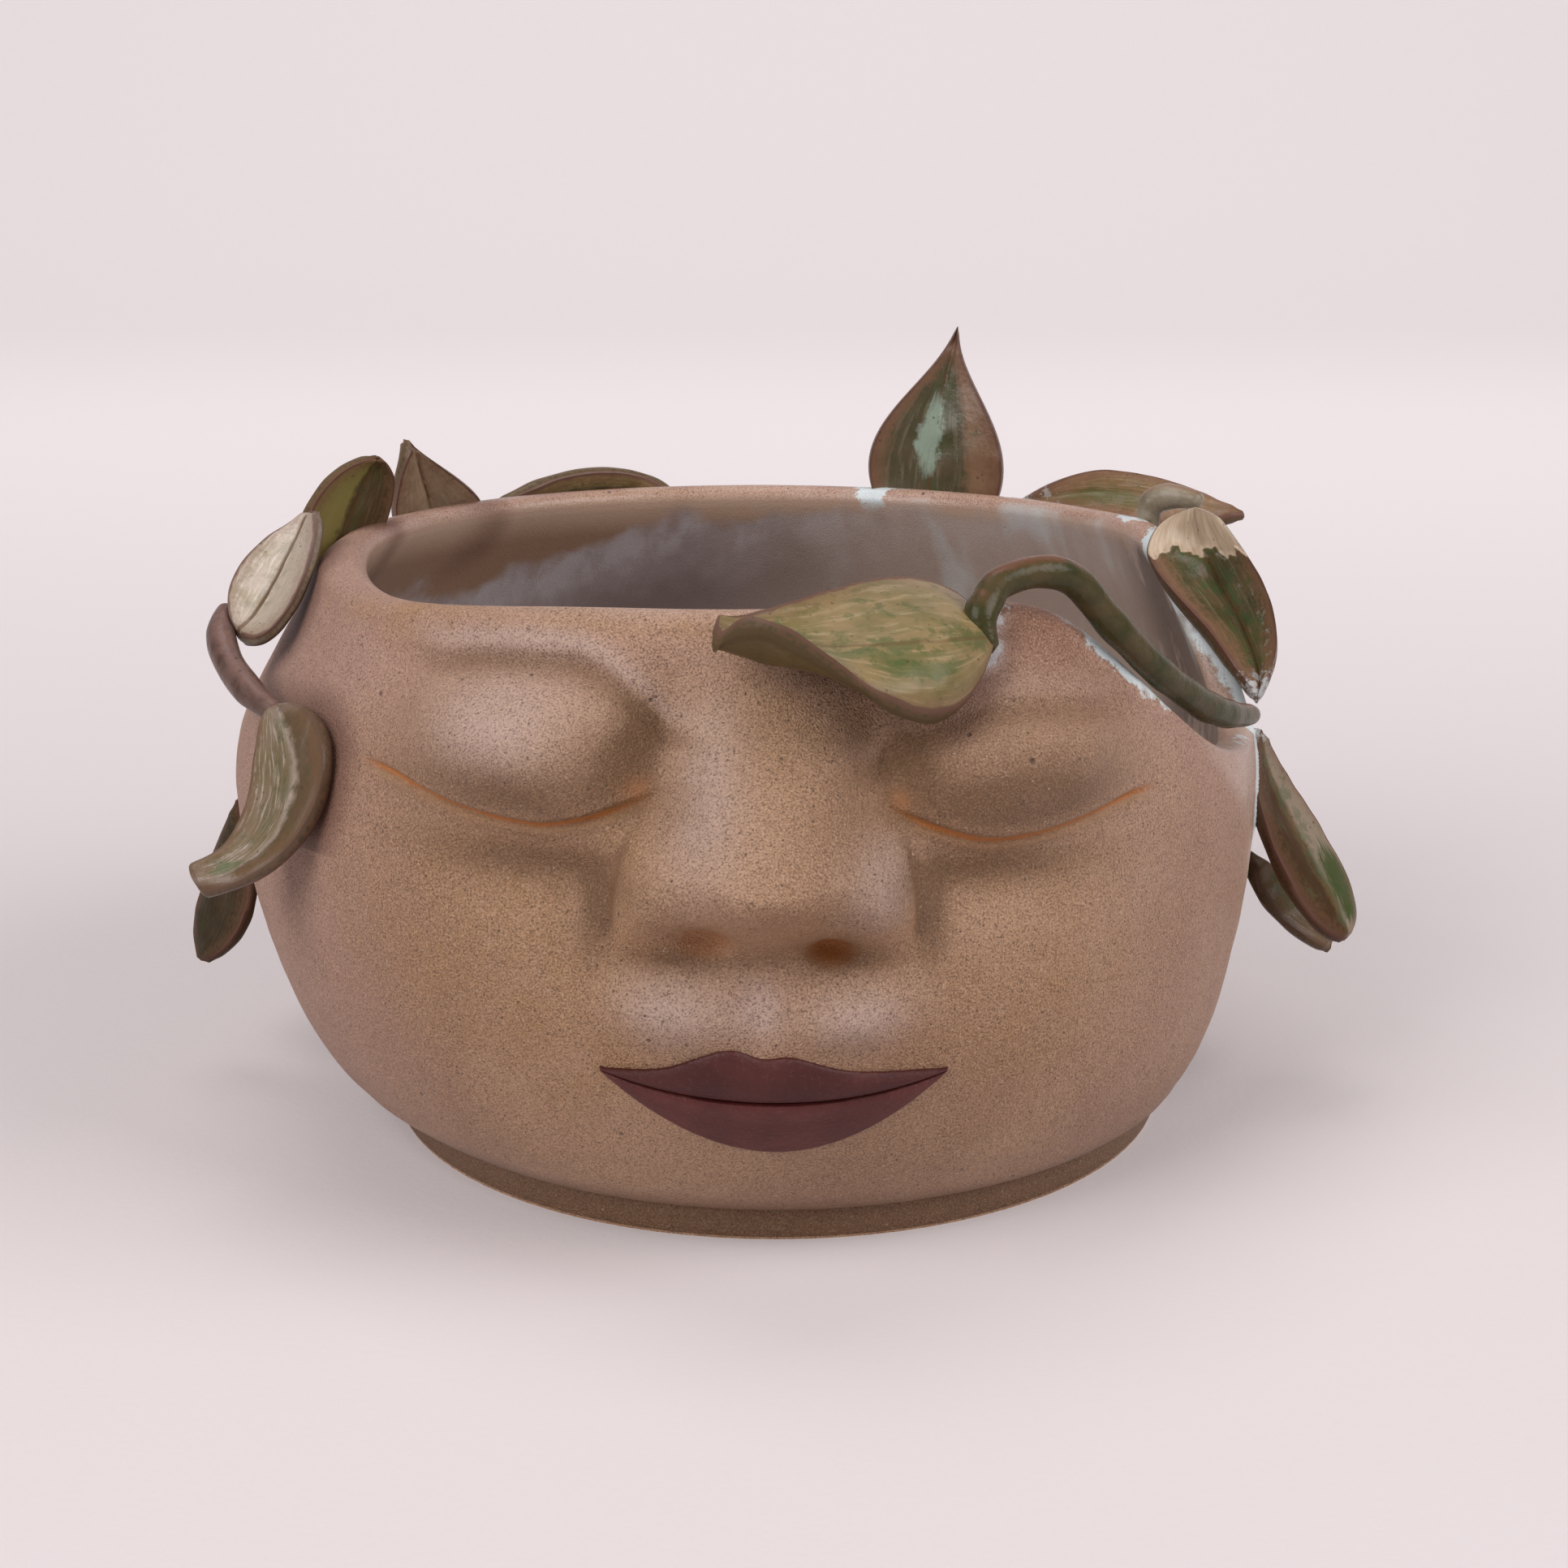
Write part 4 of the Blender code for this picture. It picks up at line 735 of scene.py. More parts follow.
def make_lip(name, outer_line, way, material, node):
    """Soft strip on the wall, closed, with a crisp edge and a soft crown."""
    turn = 0.5 * math.pi * (2.0 * np.arange(LIP_FINE_COLUMNS + 1) / LIP_FINE_COLUMNS - 1.0)
    across = MOUTH_CENTRE + LIP_REACH * MOUTH_HALF_WIDTH * np.sin(turn)
    inner = mouth_line(across)
    outer = way * np.maximum(way * outer_line(across), way * inner + LIP_EDGE)
    full = LIP_EDGE + (LIP_THICKNESS - LIP_EDGE) * np.cos(turn) ** LIP_TAPER
    front = []
    back = []
    crown = []
    for row in range(LIP_FINE_ROWS + 1):
        share = row / LIP_FINE_ROWS
        height = inner + (outer - inner) * share
        fullness = share ** (LOWER_LIP_LEANING if way < 0.0 else LIP_LEANING)
        thick = LIP_FOOT + (full - LIP_FOOT) * math.sin(math.pi * fullness) ** LIP_ROUNDING
        front += [on_face(*place) for place in zip(across, height, thick)]
        back += [on_face(a, h, -LIP_SINK) for a, h in zip(across, height)]
        crown += [share] * len(across)
    columns = len(across)
    count = len(front)
    faces, rim = sheet_faces(LIP_FINE_ROWS + 1, columns)
    for (i, j), (k, m) in zip(rim, rim[1:] + rim[:1]):
        a = i * columns + j
        b = k * columns + m
        faces.append((a, count + a, count + b, b))
    add_closed(name, front + back, faces, material, "burgundy_slip", node, 50.0, crown=crown * 2)


# Leaves

def leaf_rails(shape):
    """Four points each on the left edge, the rib and the right edge, from the root to the tip."""
    root = rim_point(shape["azimuth"], shape["below"], shape["off"])
    tip = root + Vector(shape["tip"]) / MM
    rails = []
    for side in ("left", "rib", "right"):
        places = [root + Vector(place) / MM for place in shape[side]]
        rails.append([root, *places, tip] if len(places) == 2 else [root, *places])
    return np.array([[list(point) for point in rail] for rail in rails])


def cubic(rail, t):
    """Points on the cubic through four points at even thirds."""
    s = 3.0 * t[:, None]
    return (rail[0] * ((1.0 - s) * (2.0 - s) * (3.0 - s) / 6.0) + rail[1] * (s * (2.0 - s) * (3.0 - s) / 2.0)
            + rail[2] * (s * (s - 1.0) * (3.0 - s) / 2.0) + rail[3] * (s * (s - 1.0) * (s - 2.0) / 6.0))


def unit(vectors):
    """Vectors of length 1."""
    return vectors / np.linalg.norm(vectors, axis=-1, keepdims=True)


def leaf_middles(rails, crease, t, u):
    """Points half way through the leaf, at t along it and u across it from -1 to 1: bowed, or creased at the rib."""
    left, rib, right = [cubic(rail, t)[:, None, :] for rail in rails]
    u = u[None, :, None]
    flat = rib + np.where(u > 0.0, right - rib, left - rib) * np.abs(u)
    bowed = rib * (1.0 - u * u) + left * (0.5 * u * (u - 1.0)) + right * (0.5 * u * (u + 1.0))
    return bowed * (1.0 - crease) + flat * crease


def make_leaf(name, shape, material, seed):
    """Leaf cut from a slab: same loft as the solid, finer, with a scored rib, faint veins and a rounded edge."""
    rails = leaf_rails(shape)
    t = LEAF_END_TRIM * 0.5 + (1.0 - LEAF_END_TRIM) * np.linspace(0.0, 1.0, LEAF_ROWS + 1)
    u = np.sin(0.5 * math.pi * np.linspace(-1.0, 1.0, 2 * LEAF_COLUMNS + 1))
    middle = leaf_middles(rails, shape["crease"], t, u)
    lobe = LOBES.get(name)
    steady = np.clip(t, LEAF_STEADY, 1.0 - LEAF_STEADY)
    way = cubic(rails[1], steady + LEAF_END_TRIM) - cubic(rails[1], steady - LEAF_END_TRIM)
    ends = leaf_middles(rails, shape["crease"], steady, np.array([-1.0, 1.0]))
    flat = unit(ends[:, 1] - ends[:, 0])
    normal = unit(np.cross(flat, way))[:, None, :]
    if lobe:
        rounding = np.sqrt(np.clip((1.0 - t) / (1.0 - lobe[1]), 0.0, 1.0))
        wider = lobe[0] * smooth_step((t - lobe[1] + LOBE_START) / LOBE_START) * rounding
        to_side = wider[:, None] * (u * np.where(u < 0.0, 1.0, 0.25))[None, :]
        middle = middle + flat[:, None, :] * to_side[:, :, None]
    width = np.linalg.norm(middle[:, -1] - middle[:, 0], axis=-1)[:, None]
    out = np.abs(u)[None, :]
    long = t[:, None]
    thick = np.minimum(LEAF_THICKNESS, np.maximum(LEAF_END_THICKNESS, width))
    slope = np.empty_like(middle)
    slope[:, 1:-1] = middle[:, 2:] - middle[:, :-2]
    slope[:, 0] = middle[:, 1] - middle[:, 0]
    slope[:, -1] = middle[:, -1] - middle[:, -2]
    steep = np.maximum(np.abs((unit(slope) * flat[:, None, :]).sum(axis=2)), LEAF_STEEPEST)
    half = 0.5 * thick * (1.0 - LEAF_EDGE_THINNING * out ** 3) / steep
    from_rib = out * 0.5 * width
    score = SCORE_DEPTH * hump(from_rib, SCORE_WIDTH) * np.sin(math.pi * long) ** 0.4
    grid = middle.reshape(-1, 3)
    lumps = (LEAF_LUMPS * random_waves(grid, LEAF_WAVES, seed)).reshape(len(t), len(u))
    veins = VEIN_DEPTH * np.maximum(0.0, np.sin(long * VEIN_PITCH - out * VEIN_SLANT)) ** 4
    veins = veins * (1.0 - out ** 2) * 0.5
    torn = np.zeros((len(t), len(u)))
    if lobe:
        ragged = lobe[1] + 0.025 * np.sin(9.0 * u) + 0.015 * np.sin(23.0 * u + 1.0)
        torn = lobe[2] * smooth_step((ragged[None, :] - long) / 0.025) * smooth_step(long / 0.5)
    top = middle + normal * (half - score - veins + lumps + torn)[:, :, None]
    under = middle - normal * (half + lumps)[:, :, None]
    rows, columns = len(t), len(u)
    count = rows * columns
    faces, rim = sheet_faces(rows, columns)
    centre = middle.mean(axis=1)
    sides = []
    for i, j in rim:
        edge_way = unit(middle[i, j] - centre[min(max(i, 2), rows - 3)])
        sides.append(0.5 * (top[i, j] + under[i, j]) + edge_way * LEAF_EDGE_ROUND)
    points = np.concatenate((top.reshape(-1, 3), under.reshape(-1, 3), np.array(sides)))
    for n, ((i, j), (k, m)) in enumerate(zip(rim, rim[1:] + rim[:1])):
        a = i * columns + j
        b = k * columns + m
        c = 2 * count + n
        d = 2 * count + (n + 1) % len(rim)
        faces.append((a, c, d, b))
        faces.append((c, count + a, count + b, d))
    whole = torn / lobe[2] if lobe else np.ones_like(torn)
    tip_gap = np.minimum(long - t[0], t[-1] - long) * np.linalg.norm(rails[1][3] - rails[1][0])
    edge_gap = np.minimum((1.0 - out) * 0.5 * width, tip_gap * 1.4) * MM

    def all_round(values, at_rim):
        """Values of the top, the under side and the rim."""
        return np.concatenate((values.ravel(), values.ravel(), at_rim))

    border = np.zeros(len(rim))
    add_closed(name + "_glazed", points, faces, material, "olive_glaze", name, 60.0,
               across=all_round(np.tile(u, rows), [u[j] for i, j in rim]),
               along=all_round(np.repeat(t, columns), [t[i] for i, j in rim]),
               face=np.concatenate((np.ones(count), -np.ones(count), border)),
               whole=all_round(whole, border + 1.0), rim_gap=all_round(edge_gap, border),
               rib_gap=all_round(from_rib, border + 0.01) * MM)
    return points


# Vines

def make_vine(name, places, material, seed):
    """Rolled coil along the wall, a little uneven, with round ends."""
    route = np.array([list(p) for p in smooth_route([rim_point(*place) for place in places], VINE_FINE_STEPS)])
    ways = unit(np.gradient(route, axis=0))
    count = len(route)
    rings = []
    side = np.cross(ways[0], (0.0, 0.0, 1.0))
    for number in range(count):
        side = side - ways[number] * side.dot(ways[number])
        side = side / np.linalg.norm(side)
        other = np.cross(ways[number], side)
        from_end = min(number, count - 1 - number) / VINE_FINE_STEPS
        taper = VINE_END_TAPER + (1.0 - VINE_END_TAPER) * min(from_end, 1.0)
        turn = np.arange(VINE_SIDES) * math.tau / VINE_SIDES
        ring = route[number] + VINE_RADIUS * taper * (np.cos(turn)[:, None] * side + np.sin(turn)[:, None] * other)
        rings.append(ring)
    points = np.concatenate(rings)
    centre = np.repeat(route, VINE_SIDES, axis=0)
    out = unit(points - centre)
    points = points + out * (VINE_LUMPS * random_waves(points, VINE_WAVES, seed))[:, None]
    first = rings[0].mean(axis=0) - ways[0] * VINE_END_ROUND
    last = rings[-1].mean(axis=0) + ways[-1] * VINE_END_ROUND
    points = np.concatenate((points, [first, last]))
    faces = ring_faces(count, VINE_SIDES)
    end = (count - 1) * VINE_SIDES
    for j in range(VINE_SIDES):
        k = (j + 1) % VINE_SIDES
        faces.append((len(points) - 2, k, j))
        faces.append((len(points) - 1, end + j, end + k))
    add_closed(name + "_glazed", points, faces, material, "dark_olive_glaze", name, 60.0,
               upward=np.concatenate((out[:, 2], [0.0, 0.0])))
    return points


# Materials

class Wire:
    """Output of a node. Arithmetic on it adds math nodes."""

    def __init__(self, paint, socket):
        self.paint = paint
        self.socket = socket

    def __add__(self, other):
        return self.paint.math("ADD", self, other)

    def __radd__(self, other):
        return self.paint.math("ADD", other, self)

    def __sub__(self, other):
        return self.paint.math("SUBTRACT", self, other)

    def __rsub__(self, other):
        return self.paint.math("SUBTRACT", other, self)

    def __mul__(self, other):
        return self.paint.math("MULTIPLY", self, other)

    def __truediv__(self, other):
        return self.paint.math("DIVIDE", self, other)

    def __pow__(self, other):
        return self.paint.math("POWER", self, other)

    def __abs__(self):
        return self.paint.math("ABSOLUTE", self)


class Paint:
    """Short names for building a material's nodes, and the colour so far, which coats go over."""

    def __init__(self, name):
        self.material = bpy.data.materials.new(name)
        self.material.use_nodes = True
        self.tree = self.material.node_tree
        self.shader = self.tree.nodes["Principled BSDF"]
        self.place = self.wire(self.node("TexCoord"), "Object")
        self.colour = None

    def plug(self, socket, value):
        if isinstance(value, Wire):
            self.tree.links.new(value.socket, socket)
        elif isinstance(value, tuple) and len(value) == 3 and len(socket.default_value) == 4:
            socket.default_value = (*value, 1.0)
        else:
            socket.default_value = value

    def node(self, kind, inputs=(), **settings):
        """New node with its settings, and its inputs as pairs of a name or number and a value."""
        node = self.tree.nodes.new("ShaderNode" + kind)
        for name, setting in settings.items():
            setattr(node, name, setting)
        for name, value in inputs:
            self.plug(node.inputs[name], value)
        return node

    def wire(self, node, output=0):
        return Wire(self, node.outputs[output])

    def math(self, operation, first, second=0.0, clamp=False):
        return self.wire(self.node("Math", ((0, first), (1, second)), operation=operation, use_clamp=clamp))

    def mix(self, share, first, second):
        return self.wire(self.node("Mix", ((0, share), (6, first), (7, second)), data_type="RGBA"), 2)

    def coat(self, share, tone):
        """Lay a tone over the colour so far."""
        self.colour = self.mix(share, self.colour, tone)

    def value(self, name):
        return self.wire(self.node("Attribute", attribute_name=name), "Fac")

    def spot(self, x, y):
        """Place made of two values, for a noise that follows a piece."""
        return self.wire(self.node("CombineXYZ", ((0, x), (1, y), (2, 0.0))))

    def stretch(self, factors):
        return self.wire(self.node("Mapping", (("Vector", self.place), ("Scale", factors))), "Vector")

    def noise(self, size, detail=3.0, rough=0.55, vector=None):
        """Noise from 0 to 1, with blots of a size in metres."""
        inputs = (("Vector", vector or self.place), ("Scale", 1.0 / size), ("Detail", detail), ("Roughness", rough))
        return self.wire(self.node("TexNoise", inputs), "Fac")

    def step(self, value, low, high):
        """0 below low, 1 above high, smooth between; the other way round where low is the larger."""
        ends = (low, high, 0.0, 1.0) if low < high else (high, low, 1.0, 0.0)
        inputs = (("Value", value), *zip(("From Min", "From Max", "To Min", "To Max"), ends))
        return self.wire(self.node("MapRange", inputs, interpolation_type="SMOOTHSTEP"), "Result")

    def dots(self, size, radius, share):
        """Round specks: cell size in metres, radius as a share of the cell, and how many cells have one."""
        cells = self.node("TexVoronoi", (("Vector", self.place), ("Scale", 1.0 / size)))
        parts = self.node("SeparateColor", ((0, self.wire(cells, "Color")),))
        spot = self.step(self.wire(parts, 1) * radius - self.wire(cells, "Distance"), -0.02, 0.06)
        return spot * self.math("LESS_THAN", self.wire(parts, 0), share)

    def bump(self, height, depth):
        return self.wire(self.node("Bump", (("Strength", 1.0), ("Distance", depth), ("Height", height))), "Normal")

    def done(self, roughness, normal, specular):
        for name, value in (("Base Color", self.colour), ("Roughness", roughness), ("Normal", normal),
                            ("Specular IOR Level", specular)):
            self.plug(self.shader.inputs[name], value)
        return self.material


CLAY_SPECULAR = 0.38
TAN = (0.44, 0.258, 0.158)
TAN_DARK = (0.34, 0.186, 0.108)
MAUVE = (0.42, 0.248, 0.206)
OCHRE_TONE = (0.39, 0.205, 0.085)
# brown of the painted shade, and of the random mottling
SHADE_AND_MOTTLE_BROWN = (0.18, 0.09, 0.042)
PAINTED_HIGHLIGHT_MAUVE = (0.53, 0.385, 0.34)
RUST = (0.48, 0.17, 0.04)
PALE_SLIP = (0.62, 0.43, 0.29)
GLAZE_WHITE = (0.64, 0.69, 0.71)
LAVENDER = (0.455, 0.39, 0.405)
INNER_BROWN_PAINTED_HIGHLIGHT = (0.62, 0.44, 0.335)
EDGE_BROWN = (0.19, 0.098, 0.058)
EDGE_LINE = (0.125, 0.058, 0.042)
LIP_TONES = (((0.06, 0.01, 0.009), (0.082, 0.017, 0.014)), ((0.08, 0.014, 0.012), (0.112, 0.023, 0.019)))


def clay_paint(name):
    """Satin speckled stoneware, flashed mauve and ochre, with rust in the scored lines, and painted highlights and
    painted shade on the face and low on the wall.
    """
    p = Paint(name)
    broad = p.noise(0.035, 2.0)
    fine = p.noise(0.00027, 2.0, 0.6)
    mottle = p.noise(0.0016, 5.0, 0.7)
    cloud = p.noise(0.009, 4.0, 0.6)
    p.colour = p.mix(p.step(broad, 0.35, 0.7), TAN, TAN_DARK)
    p.coat(p.value("flash") * 0.85, MAUVE)
    p.coat(p.value("ochre") * p.step(cloud, 0.2, 0.75) * 0.75, OCHRE_TONE)
    # painted highlight: pale sheen laid into the colour
    p.coat(p.value("painted_highlight") * 0.75, PAINTED_HIGHLIGHT_MAUVE)
    # painted shade in the face's creases and hollows and low on the wall
    p.coat(p.value("hollow") * 0.95, SHADE_AND_MOTTLE_BROWN)
    p.coat(p.value("ruddy") * 0.75, (0.25, 0.1, 0.06))
    p.coat(p.step(cloud, 0.5, 0.8) * 0.35, TAN_DARK)
    p.coat(p.step(mottle, 0.5, 0.72) * 0.3, SHADE_AND_MOTTLE_BROWN)
    light = 0.5 - p.value("hollow") * 0.3
    p.coat(p.step(fine, 0.5, 0.68) * light, PALE_SLIP)
    p.coat(p.step(fine, 0.5, 0.32) * 0.7, (0.12, 0.062, 0.034))
    p.coat(p.dots(0.001, 0.22, 0.25) * 0.45, PALE_SLIP)
    p.coat(p.dots(0.00075, 0.3, 0.4) * 0.65, (0.075, 0.038, 0.022))
    pits = p.dots(0.004, 0.115, 0.3)
    p.coat(pits * 0.8, (0.05, 0.028, 0.018))
    gap = p.value("gap")
    ends = p.value("ends")
    wobble = (p.noise(0.003, 3.0) - 0.5) * 0.5
    p.coat(p.step(gap + 1.0, 1.3, 0.2) * p.step(gap, -2.2, -0.5) * ends * 0.45, OCHRE_TONE)
    p.coat(p.step(abs(gap + wobble), 0.62, 0.25) * ends * 0.9, RUST)
    p.coat(p.value("nostril") * 0.75, RUST)
    return p, fine, pits


def wall_paint():
    """The clay, with a brown and milky glaze inside, wet at the dip, and crystals round the glazed vine, with painted
    highlights and painted shade inside the pot and painted shade along the leaves and vines.
    """
    p, fine, pits = clay_paint("speckled_clay_and_glaze")
    below = p.value("below")
    inner = p.value("inner")
    turn = p.value("turn")
    scallop = p.noise(0.012, 3.0, 0.5)
    drips = p.noise(0.012, 3.0, 0.5, p.stretch((1.0, 1.0, 0.16)))
    joined = p.step(abs(turn), 0.97, 0.8)
    start = p.step(turn, -0.02, 0.3) * joined * 11.0 + 3.0
    start = start + (scallop - 0.5) * 16.0
    milky = p.step(below - start, -1.5, 2.5)
    # brown glaze inside: pale just under the rim as painted highlight, darker further down as painted shade
    inside = p.mix(p.math("ADD", p.step(below, 2.0, 9.5), drips * 0.2, clamp=True), INNER_BROWN_PAINTED_HIGHLIGHT, (0.33, 0.205, 0.14))
    inside = p.mix(p.step(below, 3.5, 0.5), inside, p.colour)
    veil = p.noise(0.006, 4.0, 0.6, p.stretch((1.0, 1.0, 0.4)))
    cream = p.mix(p.step(veil, 0.35, 0.7), LAVENDER, (0.37, 0.31, 0.312))
    depth = below - start
    # painted shade: the milky glaze darker deeper inside the pot
    cream = p.mix(p.step(depth, 2.0, 16.0) * 0.9, cream, (0.18, 0.138, 0.128))
    cream = p.mix(p.step(depth, 9.0, 2.0) * p.step(veil, 0.62, 0.42) * 0.45, cream, (0.54, 0.51, 0.545))
    cream = p.mix(p.step(turn, 0.1, -0.15) * joined * 0.6, cream, (0.56, 0.43, 0.355))
    inside = p.mix(milky, inside, cream)
    # painted shade: dark patch on the inner wall deep in the dip on the right
    dip = p.step(turn, -0.34, -0.42) * p.step(turn, -0.78, -0.7) * p.step(below, 0.5, 4.0) * p.step(veil, 0.66, 0.5)
    inside = p.mix(dip * 0.8, inside, (0.095, 0.07, 0.06))
    inside = p.mix(p.step(drips, 0.52, 0.66) * p.step(turn, 0.02, -0.22) * joined * 0.55, inside, GLAZE_WHITE)
    p.coat(p.step(inner, 0.55, 0.95), inside)
    back = p.step(abs(turn), 0.5, 0.3)
    shine = back * p.step(below, 4.5, 2.5)
    # paler glaze on the back rim, lightened further in streaks as painted sheen
    p.coat(shine * p.step(veil, 0.34, 0.66) * 0.28, (0.5, 0.365, 0.3))
    wet = p.value("wet")
    p.coat(wet * 0.3, (0.43, 0.33, 0.27))
    far = p.value("far")
    crystals = p.noise(0.0016, 5.0, 0.75)
    reach = crystals * (back * 1.2 + 5.2)
    frost = p.step(reach - far, 0.25, 1.0)
    frost = frost * p.step(p.noise(0.007, 2.0) + back * 0.05, 0.28, 0.46)
    frost = frost * (1.0 - p.step(inner, 0.5, 0.9) * p.step(below, 1.5, 4.5))
    # painted shade along where the glazed leaves and vines meet the wall
    p.coat(p.step(far, 2.6, 0.2) * 0.6, (0.15, 0.12, 0.085))
    p.coat(frost, GLAZE_WHITE)
    # painted shade on the wall beside the other leaves and the left vine
    p.coat(p.step(p.value("far_plain"), 6.0, 0.2) * 0.75, (0.13, 0.052, 0.036))
    glossy = wet
    for other in (shine, p.step(inner, 0.3, 0.8), p.step(far, 4.0, 2.0)):
        glossy = p.math("MAXIMUM", glossy, other)
    matt = fine * 0.16 + (p.value("flash") * 0.2 + 0.31)
    gloss = crystals * 0.16 + 0.16
    rough = matt * (1.0 - glossy) + gloss * glossy
    grain = fine + p.noise(0.0011, 3.0) * 0.5
    grain = grain - pits * 0.8
    grain = grain * (1.0 - glossy * 0.75)
    return p.done(rough, p.bump(grain, 0.0003), CLAY_SPECULAR)


def slab_paint():
    """The same clay without glaze, for the base."""
    p, fine, pits = clay_paint("speckled_clay")
    return p.done(fine * 0.22 + 0.42, p.bump(fine - pits * 0.8, 0.00011), CLAY_SPECULAR)


def lip_paint(name, tones, sheen_low, sheen_high):
    """Burgundy slip, satin, with a granular sheen along the fuller part of the lip."""
    p = Paint(name)
    grain = p.noise(0.0007, 4.0, 0.65)
    broad = p.noise(0.006, 3.0)
    p.colour = p.mix(p.step(broad, 0.35, 0.7), *tones)
    p.coat(p.step(grain, 0.52, 0.72) * 0.3, (0.17, 0.06, 0.06))
    crown = p.value("crown")
    middle = 0.5 * (sheen_low + sheen_high)
    band = p.step(crown, sheen_low, middle) * p.step(crown, sheen_high, middle)
    rough = 0.5 + grain * 0.16 - band * 0.24
    return p.done(rough, p.bump(grain, 0.00022), 0.36)


# What a leaf's look is made of, where its own look doesn't say: tones, how much there is of each, and the gloss
PLAIN_LOOK = dict(
    cream=(0.44, 0.37, 0.255), pale=0.4,                            # streaks where the glaze lies thin
    pool=(0.045, 0.085, 0.03), green=0.5,                           # green where it lies thick
    halves=(),                                                      # side, tone, strength, where it starts
    spots=(),                                                       # across, along, width, length, tone, strength
    brown=0.4, score=0.45, tip=None,                                # edge, rib, and tones of a folded-over end
    side=(0.13, 0.09, 0.042), side_deep=(0.06, 0.05, 0.022),        # the slab's edge
    under=0.35, under_tone=(0.12, 0.085, 0.038), turned=1.0,        # the under side; -1 where that is the one seen
    frost=0.0, frost_reach=0.3, frost_side=0.0,                     # crystals at the root and on the right half
    matt=0.17, specular=0.26)


def leaf_paint(name, own_look):
    """Glossy olive glaze: pale where it lies thin, green where it pools, brown where it breaks over the edge."""
    look = SimpleNamespace(**{**PLAIN_LOOK, **own_look})
    p = Paint(name)
    rim_gap, rib_gap, along, across = [p.value(key) for key in ("rim_gap", "rib_gap", "along", "across")]
    face = p.value("face") * look.turned
    cloud = p.noise(0.006, 4.0, 0.6)
    blots = p.noise(0.0024, 4.0, 0.65)
    fleck = p.noise(0.0008, 4.0, 0.7)
    streaks = p.noise(0.0013, 4.0, 0.6, p.spot(along * 0.008, across * 0.016))
    p.colour = p.mix(p.step(cloud, 0.35, 0.68), look.base, look.deep)
    p.coat(p.step(streaks, 0.48, 0.7) * look.pale, look.cream)
    wavy = across + (blots - 0.5) * 0.4
    for way, tone, strength, start in look.halves:
        p.coat(p.step(wavy * way, start, start + 0.22) * strength, tone)
    hollow = p.step(rib_gap, 3.6, 0.3) * p.step(rim_gap, 1.0, 3.0)
    p.coat(p.step(blots + hollow * 0.13, 0.61 - 0.12 * look.green, 0.72 - 0.08 * look.green) * look.green, look.pool)
    p.coat(p.step(rib_gap, 0.55, 0.15) * p.step(face, 0.5, 0.9) * look.score, (0.12, 0.06, 0.022))
    for place_across, place_along, wide, tall, tone, strength in look.spots:
        away = ((wavy - place_across) / wide) ** 2.0 + ((along - place_along) / tall) ** 2.0 + (streaks - 0.5) * 2.2
        p.coat(p.step(away, 1.3, 0.4) * strength, tone)
    p.coat(p.step(rim_gap + (fleck - 0.5) * 6.0, 3.0, 0.6) * look.brown, EDGE_BROWN)
    line = p.step(rim_gap + (blots - 0.5) * 0.9, 0.62, 0.22)
    p.coat(line * 0.85, EDGE_LINE)
    if look.tip:
        lobe = p.step(p.value("whole"), 0.8, 0.3) * p.step(along, 0.5, 0.6)
        p.coat(lobe, p.mix(p.step(streaks, 0.35, 0.65), *look.tip))
    side_tone = p.mix(p.step(fleck, 0.44, 0.62), look.side, look.side_deep)
    p.coat(p.step(abs(face), 0.75, 0.25) * 0.8, side_tone)
    p.coat(p.dots(0.001, 0.26, 0.4) * 0.55, (0.055, 0.032, 0.018))
    p.coat(p.step(face, 0.0, -0.5) * look.under, look.under_tone)
    if look.frost:
        root = p.step(along, look.frost_reach, 0.02)
        patch = p.step(across, 0.1, 0.5) * p.step(across, 0.9, 0.6) * p.step(along, 0.95, 0.6) * look.frost_side
        near = p.math("MAXIMUM", root, patch)
        crystals = p.step(p.noise(0.0014, 5.0, 0.75) + near * 0.2, 0.6, 0.72)
        p.coat(crystals * near * look.frost, GLAZE_WHITE)
    lumps = cloud * 0.6 + blots * 0.3 + streaks * 0.15
    return p.done(look.matt + (line + blots) * 0.14, p.bump(lumps, 0.0003), look.specular)


def vine_paint(name, look):
    """Dark olive glaze, brown where it breaks over the top of the coil."""
    p = Paint(name)
    cloud = p.noise(0.005, 4.0, 0.6)
    blots = p.noise(0.002, 4.0, 0.65)
    p.colour = p.mix(p.step(cloud, 0.35, 0.66), look["base"], look["deep"])
    up = p.value("upward")
    p.coat(p.step(up + blots * 0.6, 0.85, 1.25) * 0.8, look["edge"])
    specks = p.dots(0.0013, 0.26, 0.3)
    p.coat(specks * 0.5, (0.04, 0.026, 0.014))
    rough = 0.2 + blots * 0.16
    return p.done(rough, p.bump(cloud + blots * 0.4, 0.00025), 0.18)


